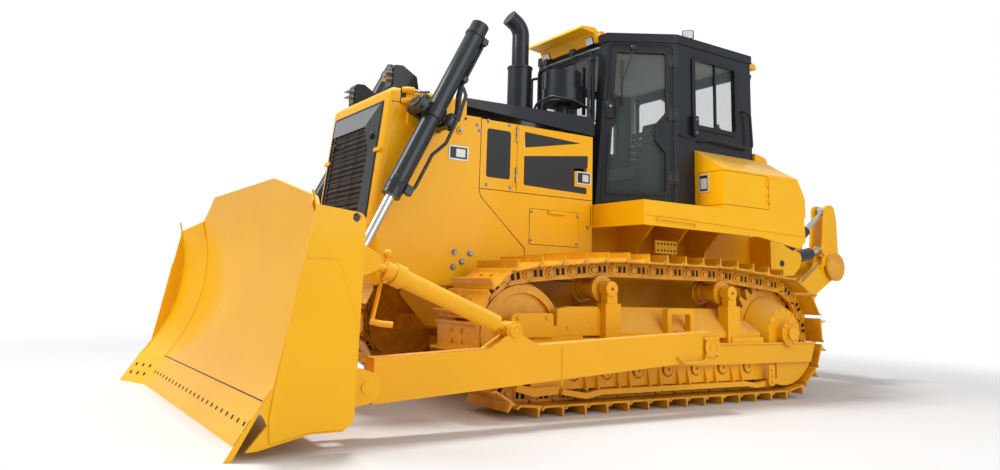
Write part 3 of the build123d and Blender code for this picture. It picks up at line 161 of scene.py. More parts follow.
def basis(direction):
    # two unit vectors square to a direction
    d = np.asarray(direction, float)
    d = d / np.linalg.norm(d)
    other = np.array([0, 0, 1.0]) if abs(d[2]) < 0.9 else np.array([1.0, 0, 0])
    u = np.cross(other, d)
    u /= np.linalg.norm(u)
    return u, np.cross(d, u), d


def turned(profile, origin, direction, sides=24):
    # profile (distance along the axis, radius) turned about the axis; a zero radius closes to a small rim
    profile = np.asarray(profile, float)
    u, v, d = basis(direction)
    circle = ring(1.0, sides)
    radii = np.maximum(profile[:, 1], 0.0001)
    points = (np.asarray(origin, float) + profile[:, 0, None, None] * d
              + radii[:, None, None] * (circle[None, :, 0, None] * u + circle[None, :, 1, None] * v))
    return loft(points)


def path(points, radius):
    # a route whose corners are arcs tangent to both runs, each in six steps
    points = [np.asarray(p, float) for p in points]
    line = [points[0]]
    for before, here, after in zip(points, points[1:], points[2:]):
        to0, to1 = before - here, after - here
        l0, l1 = np.linalg.norm(to0), np.linalg.norm(to1)
        to0, to1 = to0 / l0, to1 / l1
        half = 0.5 * math.acos(max(-1, min(1, float(to0 @ to1))))
        if half > 1.56:  # the route runs straight on
            line.append(here)
            continue
        cut = min(radius / math.tan(half), 0.48 * l0, 0.48 * l1)
        reach = cut * math.tan(half)
        middle = here + (to0 + to1) / np.linalg.norm(to0 + to1) * reach / math.sin(half)
        p, q = here + to0 * cut - middle, here + to1 * cut - middle
        angle = math.pi - 2 * half
        t = np.linspace(0, 1, 7)[:, None]
        line += list(middle + (np.sin((1 - t) * angle) * p + np.sin(t * angle) * q) / math.sin(angle))
    return np.array(line + [points[-1]])


def carried(section, route):
    # a flat section carried along a route: at each point it stands square to the mean of the two runs
    route = np.asarray(route, float)
    section = np.asarray(section, float)
    runs = np.diff(route, axis=0)
    runs /= np.linalg.norm(runs, axis=1)[:, None]
    heading = np.vstack([runs[:1], runs[:-1] + runs[1:], runs[-1:]])
    heading /= np.linalg.norm(heading, axis=1)[:, None]
    u = basis(heading[0])[0]
    rings = []
    for place, d in zip(route, heading):
        u = u - d * (u @ d)
        u /= np.linalg.norm(u)
        rings.append(place + section[:, :1] * u + section[:, 1:] * np.cross(d, u))
    return loft(rings)


def rod(points, radius, bend=0.0, sides=12):
    return carried(ring(radius, sides), path(points, bend) if bend else np.asarray(points, float))


def strip(line, axis, low, high, width):
    # a band of one width along an open line; at a bend it is drawn out by one over the half turn's cosine
    line = np.asarray(line, float)
    runs = np.diff(line, axis=0)
    runs /= np.linalg.norm(runs, axis=1)[:, None]
    across = np.stack([-runs[:, 1], runs[:, 0]], -1)
    push = np.vstack([across[:1], across[:-1] + across[1:], across[-1:]])
    push /= np.linalg.norm(push, axis=1)[:, None]
    push *= width / 2 / np.sum(push * np.vstack([across, across[-1:]]), 1)[:, None]
    return plate(np.vstack([line + push, (line - push)[::-1]]), axis, low, high)


def edging(outline, axis, low, high, width):
    # a closed band inside an outline, as four rings joined in a loop
    inner = inset(outline, width)
    rings = [onAxis(outline, axis, low), onAxis(outline, axis, high), onAxis(inner, axis, high),
             onAxis(inner, axis, low)]
    return loft(rings, closed=True)


def laid(shape, origin, across, up):
    # a shape made in (across, up, outward), set at an origin; outward is across times up
    across, up = np.asarray(across, float), np.asarray(up, float)
    return np.asarray(origin, float) + shape[0] @ np.stack([across, up, np.cross(across, up)]), shape[1]


def joined(shapes):
    points, faces, start = [], [], 0
    for p, f in shapes:
        points.append(np.asarray(p, float))
        faces += [[index + start for index in face] for face in f]
        start += len(p)
    return np.vstack(points), faces


def moved(shape, by):
    return shape[0] + np.asarray(by, float), shape[1]


def mirrored(shape):
    # the same shape on the other side of the machine, with its faces turned round
    return shape[0] * np.array([-1.0, 1, 1]), [face[::-1] for face in shape[1]]


def pair(shapes):
    # the shapes and their mirror image as one shape
    shape = joined(shapes)
    return joined([shape, mirrored(shape)])


def stood(shape, origin, direction):
    # a shape made about the z axis, set at an origin with its z along a direction
    u, v, d = basis(direction)
    return np.asarray(origin, float) + shape[0] @ np.stack([u, v, d]), shape[1]


def bolt(size):
    # a hexagon head on a round washer, standing on z = 0; size is across the head's corners, halved
    head = [ring(size, 6), ring(size, 6), ring(size * 0.82, 6)]
    rise = [0.15 * size, 0.72 * size, 0.9 * size]
    washer = loft([onAxis(ring(size * 1.35, 12), "z", z) for z in (-0.1 * size, 0.18 * size)])
    return joined([washer, loft([onAxis(r, "z", z) for r, z in zip(head, rise)])])


def bolts(places, direction, size):
    return joined([stood(bolt(size), place, direction) for place in places])


def sideBolts(at, spots, size):
    # bolts at (y, z) spots of a face that looks outward
    return bolts([(at, *spot) for spot in spots], outward, size)


def sideCaps(at, spots, profile, sides=24):
    # one turned profile at each (y, z) spot of a face that looks outward
    return joined([turned(profile, (at, *spot), outward, sides) for spot in spots])


softness = dict(smoothUnder=math.radians(35), bevelOver=math.radians(40), bevelSegments=2)


def piece(name, shapes, material, body="machine", bevel=0.0):
    # the shapes as one mesh with outward faces, shaded soft at shallow angles, riding on a body
    points, faces = joined(shapes) if isinstance(shapes, list) else shapes
    mesh = bpy.data.meshes.new(name)
    mesh.from_pydata(points.tolist(), [], faces)
    work = bmesh.new()
    work.from_mesh(mesh)
    bmesh.ops.recalc_face_normals(work, faces=work.faces)
    work.to_mesh(mesh)
    work.free()
    mesh.materials.append(material)
    mesh.shade_smooth()
    mesh.set_sharp_from_angle(angle=softness["smoothUnder"])
    thing = bpy.data.objects.new(name, mesh)
    bpy.context.scene.collection.objects.link(thing)
    if bevel:
        edge = thing.modifiers.new("softEdges", "BEVEL")
        edge.width = bevel
        edge.segments = softness["bevelSegments"]
        edge.limit_method = "ANGLE"
        edge.angle_limit = softness["bevelOver"]
    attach(thing, body)
    return thing


def both(name, shapes, material, bodies, bevel=0.0):
    # the shapes on the left, and their mirror image on the right, each riding on its own side's body
    shape = joined(shapes)
    for side, half in (("left", shape), ("right", mirrored(shape))):
        piece(name + "_" + side, half, material, bodies.format(side), bevel)


def linear(hexColour):
    # sRGB hex to linear light: the low part by 12.92, the rest by the 2.4 power
    channels = np.array([int(hexColour[i:i + 2], 16) / 255 for i in (1, 3, 5)])
    low = channels / 12.92
    high = ((channels + 0.055) / 1.055) ** 2.4
    return (*np.where(channels <= 0.04045, low, high), 1.0)


def link(tree, node, links):
    # a link is the node's socket to (source node, output)
    for socket, (source, output) in links.items():
        tree.links.new(source.outputs[output], node.inputs[socket])


def addNode(tree, kind, settings=None, links=None):
    # one node with its settings and links; stops are a ramp's (level, colour)
    node = tree.nodes.new(kind)
    for key, value in (settings or {}).items():
        if key == "stops":
            for stop, (level, colour) in zip(node.color_ramp.elements, value):
                stop.position, stop.color = level, linear(colour)
        elif isinstance(key, int) or key in node.inputs:
            node.inputs[key].default_value = value
        else:
            setattr(node, key, value)
    link(tree, node, links or {})
    return node


def finish(name, shader):
    # a material with one Principled shader, whose plain values come from the dictionary
    material = bpy.data.materials.new(name)
    material.use_nodes = True
    tree = material.node_tree
    surface = tree.nodes["Principled BSDF"]
    for socket, value in shader.items():
        surface.inputs[socket].default_value = value
    return material, tree, surface


def weathered(name, shader, stops, broad, fine, height):
    # the tone wanders between the stops with a broad noise, and a fine noise lifts the skin by a height
    material, tree, surface = finish(name, shader)
    coords = {"Vector": (addNode(tree, "ShaderNodeTexCoord"), "Object")}
    patches = addNode(tree, "ShaderNodeTexNoise", broad, coords)
    tone = addNode(tree, "ShaderNodeValToRGB", {"stops": stops}, {"Fac": (patches, "Fac")})
    skin = addNode(tree, "ShaderNodeTexNoise", fine, coords)
    bump = addNode(tree, "ShaderNodeBump", height, {"Height": (skin, "Fac")})
    link(tree, surface, {"Base Color": (tone, 0), "Normal": (bump, 0)})
    return material, tree, surface, tone, coords


def enamel(name, base, dusty, roughness, coat, dustAndSheen=0.35):
    # two-coat machine enamel, sprayed: a clear gloss with faint orange peel over solid colour, slightly
    # uneven in tone over a metre, with a pale cream lying in patches on faces that look up, which is painted
    # sky reflection and road dust together; the peel is drawn at 6 mm, coarser than the real 2 mm, so that it
    # shows
    shader = {"Roughness": roughness, "Coat Weight": coat, "Coat Roughness": 0.06, "Coat IOR": 1.45,
              "IOR": 1.45, "Specular IOR Level": 0.28}
    material, tree, surface, tone, coords = weathered(
        name, shader, ((0.3, base), (0.75, dusty)), {"Scale": 1.1, "Detail": 3.0, "Roughness": 0.6},
        {"Scale": 1 / 0.006, "Detail": 1.0}, {"Strength": 0.08, "Distance": 0.0006})
    # painted sky reflection and road dust: the more a face looks up, the more it is mixed toward pale cream,
    # in patches
    facing = addNode(tree, "ShaderNodeNewGeometry")
    split = addNode(tree, "ShaderNodeSeparateXYZ", links={0: (facing, "Normal")})
    patches = addNode(tree, "ShaderNodeTexNoise", {"Scale": 9.0, "Detail": 5.0, "Roughness": 0.7}, coords)
    upwardDustAndSheen = addNode(tree, "ShaderNodeMapRange", {"From Min": 0.35, "From Max": 1.0, "To Max": dustAndSheen},
                    {"Value": (split, "Z")})
    dustAndSheenShare = addNode(tree, "ShaderNodeMath", {"operation": "MULTIPLY"}, {0: (upwardDustAndSheen, 0), 1: (patches, "Fac")})
    mix = addNode(tree, "ShaderNodeMix", {"data_type": "RGBA", 7: linear("#E9D9B8")},
                  {"Factor": (dustAndSheenShare, 0), 6: (tone, 0)})
    link(tree, surface, {"Base Color": (mix, 2)})
    return material


def castEnamel(name, base, dark):
    # the same enamel over rough castings and forgings: the 4 mm sand grain shows through, and the tone is
    # darker in broad random patches
    shader = {"Roughness": 0.42, "Coat Weight": 0.25, "Coat Roughness": 0.25}
    return weathered(name, shader, ((0.32, dark), (0.62, base)),
                     {"Scale": 6.0, "Detail": 6.0, "Roughness": 0.65},
                     {"Scale": 1 / 0.004, "Detail": 3.0}, {"Strength": 0.25, "Distance": 0.001})[0]


def grained(name, base, dark, roughness, size, depth=0.0004, metallic=0.0):
    # moulded, rolled or plated stuff: a fine grain of one size in height, and a faint tone change
    return weathered(name, {"Roughness": roughness, "Metallic": metallic}, ((0.3, dark), (0.7, base)),
                     {"Scale": 1 / (12 * size), "Detail": 4.0}, {"Scale": 1 / size, "Detail": 2.0},
                     {"Strength": 0.3, "Distance": depth})[0]


def meshSheet(name):
    # black perforated steel: 5 mm holes at 8 mm, too fine to draw as holes, so a dotted height and tone,
    # whose darker dots are painted shade in the holes
    material, tree, surface = finish(name, {"Roughness": 0.6, "Metallic": 0.0})
    place = addNode(tree, "ShaderNodeTexCoord")
    cells = addNode(tree, "ShaderNodeTexVoronoi", {"Scale": 1 / 0.008, "Randomness": 0.0},
                    {"Vector": (place, "Object")})
    # painted shade: the dots where the holes are are darker
    tone = addNode(tree, "ShaderNodeValToRGB", {"stops": ((0.28, "#08090A"), (0.36, "#26282A"))},
                   {"Fac": (cells, "Distance")})
    bump = addNode(tree, "ShaderNodeBump", {"Strength": 0.5, "Distance": 0.001},
                   {"Height": (cells, "Distance")})
    link(tree, surface, {"Base Color": (tone, 0), "Normal": (bump, 0)})
    return material


def gloss(name, colour, roughness, coat=0.0):
    # a plain glossy stuff of one colour, such as a lens or a moulded plug
    return finish(name, {"Base Color": linear(colour), "Roughness": roughness, "Coat Weight": coat})[0]


# sprayed enamels: deep yellow under a clear gloss, charcoal on the cab, grey on the cylinders, frames
yellowEnamel = enamel("yellowMachineEnamel", "#F5B600", "#EFAC00", 0.38, 0.22)
darkEnamel = enamel("charcoalCabEnamel", "#191E24", "#1F252D", 0.36, 0.3, 0.12)
cylinderEnamel = enamel("greyCylinderEnamel", "#23282D", "#292F34", 0.3, 0.45, 0.1)
paleBand = enamel("greyBandEnamel", "#83888E", "#7B8087", 0.4, 0.2, 0.1)
# the frames carry the most pale cream on faces that look up: painted sky reflection, and dust
frameEnamel = enamel("frameEnamel", "#F0AC08", "#E6A40E", 0.45, 0.2, 0.45)
# castings and rolled shoes: the same yellow, duller and sandy
trackEnamel = castEnamel("castTrackEnamel", "#E8A40E", "#C98A06")
# bare and plated metal: satin pressings, bright rods, dull zinc, a braid's speckle, dark plow bolt heads
brightTrim = grained("satinLatchFrame", "#D9DBDA", "#C9CBCA", 0.38, 0.01, 0.00005, 0.3)
hardChrome = grained("hardChromeRod", "#D5D8DA", "#C6CACC", 0.24, 0.02, 0.00002, 0.85)
zincPlate = grained("zincPlatedBolt", "#A9A8A2", "#8C8B86", 0.38, 0.003, 0.0001, 0.9)
# painted shade: the plow bolts' dark brown stands for the shade of their countersunk holes; it also darkens
# the edge's joint line
boltShadeAndJoint = grained("plowBoltShadeAndJoint", "#5A4330", "#3A2A20", 0.5, 0.004, 0.0003, 0.5)
braid = grained("braidedHoseCover", "#8F9698", "#6E7476", 0.5, 0.003, 0.0006, 0.4)
# rubber, vinyl and moulded plastic: no shine, with a fine or leathery grain
# the seal rubber's black is also painted shade: it fills holes and openings, where there is only shade
rubberAndHoleShade = grained("rubberSealAndHoleShade", "#060606", "#030303", 0.5, 0.004, 0.0001)
blackVinyl = grained("grainedVinyl", "#33363A", "#2A2C30", 0.55, 0.0025, 0.0002)
mouldedBlack = grained("mouldedBlackPlastic", "#1C1E20", "#17191B", 0.42, 0.002, 0.0002)
paleTrim = grained("paleMouldedTrim", "#B9BDB8", "#A9ADA7", 0.6, 0.004, 0.0003)
dustySlat = grained("dustyBlackBlade", "#3E3226", "#1E1A17", 0.6, 0.03)
# painted shade: the dark ground between a link's ribs; and an engine's mottled paint
paintedLinkShade = grained("paintedLinkPocketShade", "#241609", "#180E05", 0.7, 0.006)
engineIron = grained("paintedEngineIron", "#6A5A34", "#3C3527", 0.6, 0.004, 0.0008)
blackMesh = meshSheet("perforatedBlackSheet")
# clear, smoked and coloured mouldings, with a hard gloss where they are lenses
redPlug = gloss("redPlasticPlug", "#9E2A14", 0.4)
redTank = gloss("redGlossEnamel", "#A8181C", 0.25)
mainLens = gloss("clearLampLens", "#DDE1E2", 0.15, 1.0)
shadeLens = gloss("smokedLampLens", "#1B1D1F", 0.12, 1.0)
amber = gloss("amberBeaconLens", "#E07A10", 0.2, 1.0)
# toughened safety glass, green in the mass, and so clear that most of the view comes through its gloss
cabGlass = finish("greenSafetyGlass", {"Base Color": linear("#74878A"), "Roughness": 0.03, "IOR": 1.5,
                                       "Coat Weight": 0.3, "Alpha": 0.14})[0]

finishes = {
    yellowEnamel: ("radiator_guard", "side_panels", "engine_door_left", "engine_door_right", "fenders",
                   "side_tanks", "rear_tank", "tank_door_left", "tank_door_right", "roof_visors", "blade",
                   "blade_brackets", "cutting_edge", "ripper_mount", "ripper_arm", "ripper_carriage"),
    frameEnamel: ("main_frame", "track_frames", "push_arm_left", "push_arm_right", "brace", "final_drives",
                  "trunnion_shafts", "roller_guards"),
    trackEnamel: ("track_left", "track_right", "rollers", "idlers", "sprockets", "ripper_pins",
                  "ripper_tilt_pins", "ripper_shank"),
    darkEnamel: ("grille", "hood_cover", "lamps", "exhaust_pipe", "precleaner", "cab_shell", "cab_roof",
                 "cab_door_left", "cab_door_right"),
    cylinderEnamel: ("tilt_barrel", "lift_barrel_left", "lift_barrel_right", "ripper_lift_barrels",
                     "ripper_tilt_barrels", "lift_yoke_left", "lift_yoke_right"),
    hardChrome: ("tilt_rod", "lift_rod_left", "lift_rod_right", "ripper_lift_rods", "ripper_tilt_rods"),
    cabGlass: ("cab_glass", "door_glass_left", "door_glass_right"),
    blackVinyl: ("cab_interior",),
    engineIron: ("engine_block",),
}
for material, names in finishes.items():
    for name in names:
        node = frame["nodes"][name]
        node.data.materials.clear()
        node.data.materials.append(material)
print("materials set")


# A chain of two rows of forged links on pins, and a rolled shoe with one grouser bolted across each pair.

chain = dict(
    pitch=0.216, phase=0.425, gauge=2.0, shoeWidth=0.58, shoeThickness=0.016, grouser=0.068,
    linkHeight=0.116, linkSpread=0.19, railWidth=0.04, carriers=((-0.545, 0.945), (0.88, 0.945)),
    carrierRadius=0.1, leavesSprocket=0.15, leavesIdler=0.06, arcPoints=80,
    shoeBolts=((-0.072, -0.058), (-0.072, 0.016), (0.072, -0.058), (0.072, 0.016)), boltSize=0.016,
    ribs=(-0.04, 0.006, 0.06), pocketShades=((-0.036, 0.002), (0.018, 0.056)), pinRadius=0.022, pinHalf=0.14)


def middleOf(name):
    # the middle of a node's box, in (y, z)
    low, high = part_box(name)
    return 0.5 * (low[1] + high[1]), 0.5 * (low[2] + high[2])


def chainRoute():
    # the loop through the pins, front to rear along the ground: two lines and two wheels, over two carriers
    idlerY, idlerZ = middleOf("idlers")
    sprocketY, sprocketZ = middleOf("sprockets")
    half = chain["linkHeight"] / 2
    pinZ = chain["grouser"] + chain["shoeThickness"] + half
    sprocketR, idlerR = sprocketZ - pinZ, idlerZ - pinZ
    topZ = chain["carriers"][0][1] + chain["carrierRadius"] + half
    a = np.linspace(-math.pi / 2, math.acos(chain["leavesSprocket"] / sprocketR), chain["arcPoints"])
    back = np.stack([sprocketY + sprocketR * np.cos(a), sprocketZ + sprocketR * np.sin(a)], -1)
    b = np.linspace(math.pi / 2 + math.asin(chain["leavesIdler"] / idlerR), 1.5 * math.pi, chain["arcPoints"])
    nose = np.stack([idlerY + idlerR * np.cos(b), idlerZ + idlerR * np.sin(b)], -1)
    tops = [(y, topZ) for y, _ in chain["carriers"][::-1]]
    return np.vstack([[(idlerY, pinZ)], back, tops, nose])


def linkPlaces():
    # pins evenly spaced along the loop; a link's place is the middle of two pins and its heading their run
    route = chainRoute()
    steps = np.linalg.norm(np.diff(route, axis=0), axis=1)
    length = np.concatenate([[0], np.cumsum(steps)])
    count = round(length[-1] / chain["pitch"])
    share = ((np.arange(count) + chain["phase"]) / count * length[-1]) % length[-1]
    pins = np.stack([np.interp(share, length, route[:, k]) for k in (0, 1)], -1)
    after = np.roll(pins, -1, 0)
    return 0.5 * (pins + after), np.arctan2(*(after - pins).T[::-1])


def setLinks(shape, places, headings):
    # a shape made in (x, along, outward) is laid at every link; along turns with the heading, outward is
    # a quarter turn to its right
    points, faces = shape
    c, s = np.cos(headings)[:, None], np.sin(headings)[:, None]
    along, out = points[None, :, 1], points[None, :, 2]
    y = places[:, :1] + along * c + out * s
    z = places[:, 1:] + along * s - out * c
    x = np.broadcast_to(points[None, :, 0], y.shape)
    every = np.stack([x, y, z], -1).reshape(-1, 3)
    count = len(points)
    return every, [[i + count * k for i in face] for k in range(len(places)) for face in faces]


def shoeShape():
    # rolled section: a hooked lip in front, the flat, the grouser with its fillets, and a thin tail behind
    h = chain["linkHeight"] / 2
    top = h + chain["shoeThickness"]
    tip = top + chain["grouser"]
    outer = [(-0.124, h + 0.03), (-0.118, h + 0.036), (-0.108, h + 0.034), (-0.094, top + 0.004),
             (-0.084, top), (0.046, top), (0.056, top + 0.004), (0.064, top + 0.016), (0.068, tip),
             (0.08, tip), (0.086, top + 0.016), (0.094, top + 0.003), (0.104, top - 0.004)]
    inner = [(0.104, h + 0.001), (-0.092, h + 0.001), (-0.104, h + 0.006), (-0.116, h + 0.022)]
    w = chain["shoeWidth"] / 2
    heads = [(*spot, top) for spot in chain["shoeBolts"]]
    return joined([plate(outer + inner, "x", -w, w, 0.002), bolts(heads, upward, chain["boltSize"])])


def linkShape(side):
    # a forged link: a broad rail with rounded ends, a thin web with two nut pockets, and a boss on its pin;
    # the second shape is painted shade: dark grounds in the pockets, between the ribs of the web
    h, half = chain["linkHeight"] / 2, chain["railWidth"] / 2
    x = side * chain["linkSpread"] / 2
    out = x + side * half
    rail = rounded([(-0.128, -h, 0.012), (0.088, -h, 0.012), (0.118, 0.0, 0.03), (0.098, h, 0.004),
                    (-0.098, h, 0.004), (-0.15, 0.0, 0.03)], 3)
    webs = [(-0.044, 0.064, -0.03, -0.022), (-0.044, 0.064, 0.034, 0.04)]
    webs += [(y - 0.005, y + 0.007, -0.024, 0.036) for y in chain["ribs"]]
    frames = [plate(oblong(*web, 0.001, 1), "x", out, out + side * 0.012) for web in webs]
    boss = turned([(0, 0.042), (0.01, 0.042), (0.013, 0.038), (0.013, 0.028), (0.009, 0.026), (0.009, 0.0)],
                  (out, -chain["pitch"] / 2, 0), (side, 0, 0), 14)
    shadeGrounds = [plate(oblong(*span, -0.024, 0.036, 0.015, 3), "x", out - side * 0.002, out + side * 0.0015)
               for span in chain["pocketShades"]]
    return joined([plate(rail, "x", x - half, x + half, 0.003), *frames, boss]), joined(shadeGrounds)


places, headings = linkPlaces()
for side, name in ((1, "left"), (-1, "right")):
    middle = (side * chain["gauge"] / 2, 0, 0)
    links, pocketShades = zip(*(linkShape(row) for row in (-1, 1)))
    pin = turned([(-chain["pinHalf"], chain["pinRadius"]), (chain["pinHalf"], chain["pinRadius"])],
                 (0, -chain["pitch"] / 2, 0), outward, 10)
    steel = [setLinks(moved(shape, middle), places, headings)
             for shape in (shoeShape(), joined([*links, pin]))]
    track = piece("chainAndShoes_" + name, steel, trackEnamel)
    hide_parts("track_" + name)
    # painted shade: dark plates laid in every link's nut pockets
    shadeGrounds = setLinks(moved(joined(pocketShades), middle), places, headings)
    piece("nutPocketShade_" + name, shadeGrounds, paintedLinkShade)
print("tracks made,", len(places), "shoes a side")


# Nose and hood: seams, perforated sheets, latches, covers and bolts on the sides, hoses beside the nose.
# Outlines on a side are (y, z), and a third value is the corner's radius.

hoodSide = dict(
    x=0.6, sunk=0.004, sheetProud=0.0015, seamProud=0.0008, seamWidth=0.006,
    seams=(((-1.43, 2.345), (-1.43, 1.712), (-1.405, 1.662), (-0.957, 1.261), (-0.957, 1.195)),
           ((-1.43, 1.735), (-0.225, 1.735)), ((-0.232, 1.7), (-0.232, 1.5)),
           ((-2.191, 2.35), (-2.262, 2.35))), vent=(-1.368, -1.127, 1.838, 2.255),
    sheets=(((-0.977, 2.274, 0.012), (-0.351, 2.251, 0.004), (-0.973, 2.136, 0.012)),
            ((-0.98, 1.807, 0.014), (-0.976, 2.061, 0.014), (-0.268, 2.144, 0.014), (-0.273, 2.028, 0.014),
             (-0.433, 2.01, 0.014), (-0.436, 1.851, 0.014), (-0.281, 1.847, 0.01), (-0.282, 1.789, 0.01))),
    bolts=((-1.359, 2.318), (-1.142, 2.311), (-1.361, 1.774), (-1.121, 1.77), (-1.469, 2.268),
           (-1.448, 2.222), (-0.264, 1.487)), boltSize=0.013,
    group=((-1.644, 1.198), (-1.496, 1.193), (-1.572, 1.125), (-1.652, 1.08)), groupSize=0.021,
    cover=(-0.91, -0.375, 1.305, 1.608), coverGap=0.004,
    coverBolts=((-0.892, 1.582), (-0.389, 1.574), (-0.894, 1.337), (-0.395, 1.331)), coverBoltSize=0.01,
    coverGrip=((0, 1.608), (0.022, 1.608), (0.027, 1.604), (0.026, 1.578), (0.004, 1.572), (0, 1.572)),
    gripRun=(-0.72, -0.539), boss=(-1.64, 2.193), bossHeight=0.022, plug=(-1.585, 2.304),
    namePlate=(-1.737, -1.55, 1.946, 2.067), doorLatch=(-0.404, -0.235, 1.873, 1.991),
    hinge=(0.006, -1.066), hingePins=((1.821, 1.949), (2.171, 2.306)), cutOutShade=(-2.194, -2.146, 2.338, 2.47))
hoodX = hoodSide["x"]


def sideSheet(outline, proud, sunk=hoodSide["sunk"], round=0.0):
    # a sheet let into the hood's side and standing a little proud of it
    return plate(outline, "x", hoodX - sunk, hoodX + proud, round)


def latchShapes(y0, y1, z0, z1):
    # a pressed frame with its plate, and the dark back behind them
    frame = edging(oblong(y0, y1, z0, z1, 0.014), "x", hoodX - 0.002, hoodX + 0.007, 0.013)
    flap = sideSheet(oblong(y0 + 0.068, y1 - 0.03, z0 + 0.026, z1 - 0.026, 0.006), 0.01, 0.0, 0.002)
    back = sideSheet(oblong(y0 + 0.008, y1 - 0.008, z0 + 0.008, z1 - 0.008, 0.008), 0.0035, 0.002)
    return [frame, flap], [back]


seams = [strip(line, "x", hoodX - hoodSide["sunk"], hoodX + hoodSide["seamProud"], hoodSide["seamWidth"])
         for line in hoodSide["seams"]]
piece("hoodShutLines", pair(seams), rubberAndHoleShade)
vent = sideSheet(oblong(*hoodSide["vent"], 0.026), hoodSide["sheetProud"])
piece("ventSheets", pair([vent]), blackMesh)
doorSheets = [sideSheet(rounded(outline), hoodSide["sheetProud"]) for outline in hoodSide["sheets"]]
both("doorSheets", doorSheets, blackMesh, "engine_door_{}")
hoodBolts = [sideBolts(hoodX, hoodSide["bolts"], hoodSide["boltSize"]),
             sideBolts(hoodX, hoodSide["group"], hoodSide["groupSize"]),
             sideBolts(hoodX + hoodSide["sunk"], hoodSide["coverBolts"], hoodSide["coverBoltSize"]),
             sideBolts(hoodX + hoodSide["bossHeight"], [hoodSide["boss"]], 0.016)]
piece("hoodBolts", pair(hoodBolts), zincPlate)
cover, gap = hoodSide["cover"], hoodSide["coverGap"]
grip = np.array(hoodSide["coverGrip"]) + (hoodX, 0)
covers = [sideSheet(oblong(*cover, 0.012), 0.004, round=0.001), plate(grip, "y", *hoodSide["gripRun"]),
          sideCaps(hoodX, [hoodSide["boss"]], [(0, 0.036), (0.016, 0.03), (hoodSide["bossHeight"], 0.02)])]
piece("serviceCovers", pair(covers), yellowEnamel, bevel=0.0015)
coverLine = oblong(cover[0] - gap, cover[1] + gap, cover[2] - gap, cover[3] + gap, 0.014)
coverSeam = edging(coverLine, "x", hoodX - hoodSide["sunk"], hoodX + hoodSide["seamProud"], 0.005)
piece("coverShutLines", pair([coverSeam]), rubberAndHoleShade)
frames, backs = latchShapes(*hoodSide["namePlate"])
piece("plateFrames", pair(frames), brightTrim)
piece("plateBacks", pair(backs), mouldedBlack)
frames, backs = latchShapes(*hoodSide["doorLatch"])
both("latchFrames", frames, brightTrim, "engine_door_{}")
both("latchBacks", backs, mouldedBlack, "engine_door_{}")
hingeOut, hingeY = hoodSide["hinge"]
hingePins = [turned([(0, 0.008), (0.002, 0.01), (z1 - z0 - 0.002, 0.01), (z1 - z0, 0.008)],
                    (hoodX + hingeOut, hingeY, z0), upward, 12) for z0, z1 in hoodSide["hingePins"]]
piece("doorHingePins", pair(hingePins), zincPlate)
levelPlug = sideCaps(hoodX, [hoodSide["plug"]], [(0, 0.013), (0.005, 0.013), (0.007, 0.009)], 16)
piece("levelPlugs", pair([levelPlug]), redPlug)
# painted shade: a dark plate where the nose side is cut out for the hoses
cutOutShade = sideSheet(oblong(*hoodSide["cutOutShade"], 0.012), 0.001, 0.003)
piece("noseCutOutShade", pair([cutOutShade]), rubberAndHoleShade)

# hydraulic hoses leaving the nose beside the lift cylinder: yellow elbows, plated ferrules, braided hose
noseHose = dict(
    elbows=(((0.6, -2.175, 2.453), (0.632, -2.145, 2.453), (0.638, -2.095, 2.452)),
            ((0.6, -2.178, 2.363), (0.632, -2.148, 2.363), (0.638, -2.098, 2.362))), middle=(0.641, -2.03),
    ends=((0.64, -1.96, 2.462), (0.628, -2.01, 2.352)), elbow=0.025, hose=0.0125,
    nut=((0, 0.021), (0.002, 0.027), (0.02, 0.027), (0.022, 0.021)),
    ferrule=((-0.03, 0.012), (-0.028, 0.018), (0.0, 0.02), (0.014, 0.015), (0.044, 0.015), (0.046, 0.011)))
elbows, ferrules, hoses = [], [], []
for run, end in zip(noseHose["elbows"], noseHose["ends"]):
    elbows += [rod(run, noseHose["elbow"], 0.03, 14), turned(noseHose["nut"], run[1], (0.2, 1, 0), 6)]
    ferrules.append(turned(noseHose["ferrule"], run[2], (0.1, 1, -0.02), 16))
    hoses.append(rod([run[2], (*noseHose["middle"], run[2][2] - 0.002), end], noseHose["hose"], 0.05))
piece("noseElbows", pair(elbows), yellowEnamel)
piece("noseFerrules", pair(ferrules), hardChrome)
piece("noseHoses", pair(hoses), braid)

# the nose's leaned front, its outlines in (x, z): outward is mostly forward and a little up
nose = dict(
    lean=math.atan(0.10064), topY=-2.28, topZ=2.474, half=0.5, low=1.4, high=2.2,
    band=((-0.497, 2.196), (0.209, 2.196), (0.482, 2.352), (-0.497, 2.352)),
    cheek=((0.33, 1.4), (0.505, 1.4), (0.505, 2.358), (0.488, 2.358), (0.209, 2.192), (0.346, 1.987)),
    edge=(-0.514, 0.514, 1.393, 2.362), knob=(0.39, 2.09), tab=(0.47, 0.59, 1.944, 1.978),
    slats=np.linspace(1.425, 2.165, 18), slatRun=(-0.496, 0.42), rods=(-0.2, 0.08), rodTop=2.19,
    lamp=(0.333, 0.453, -2.262, -2.196), fins=(2.57, 2.622), lens=(0.335, 0.451, 2.52, 2.672))
stretch = 1 / math.cos(nose["lean"])  # a height seen along the leaned front is longer by one over its cosine


def onNose(shapes):
    # shapes made in (x, up the lean, outward) from where the leaned front would meet the ground
    origin = (0, nose["topY"] - nose["topZ"] * math.tan(nose["lean"]), 0)
    return laid(joined(shapes), origin, outward, (0, math.sin(nose["lean"]), math.cos(nose["lean"])))


def noseLine(outline):
    return np.array(outline) * (1, stretch)


def noseOblong(a0, a1, z0, z1, radius=0.0):
    return oblong(a0, a1, z0 * stretch, z1 * stretch, radius)


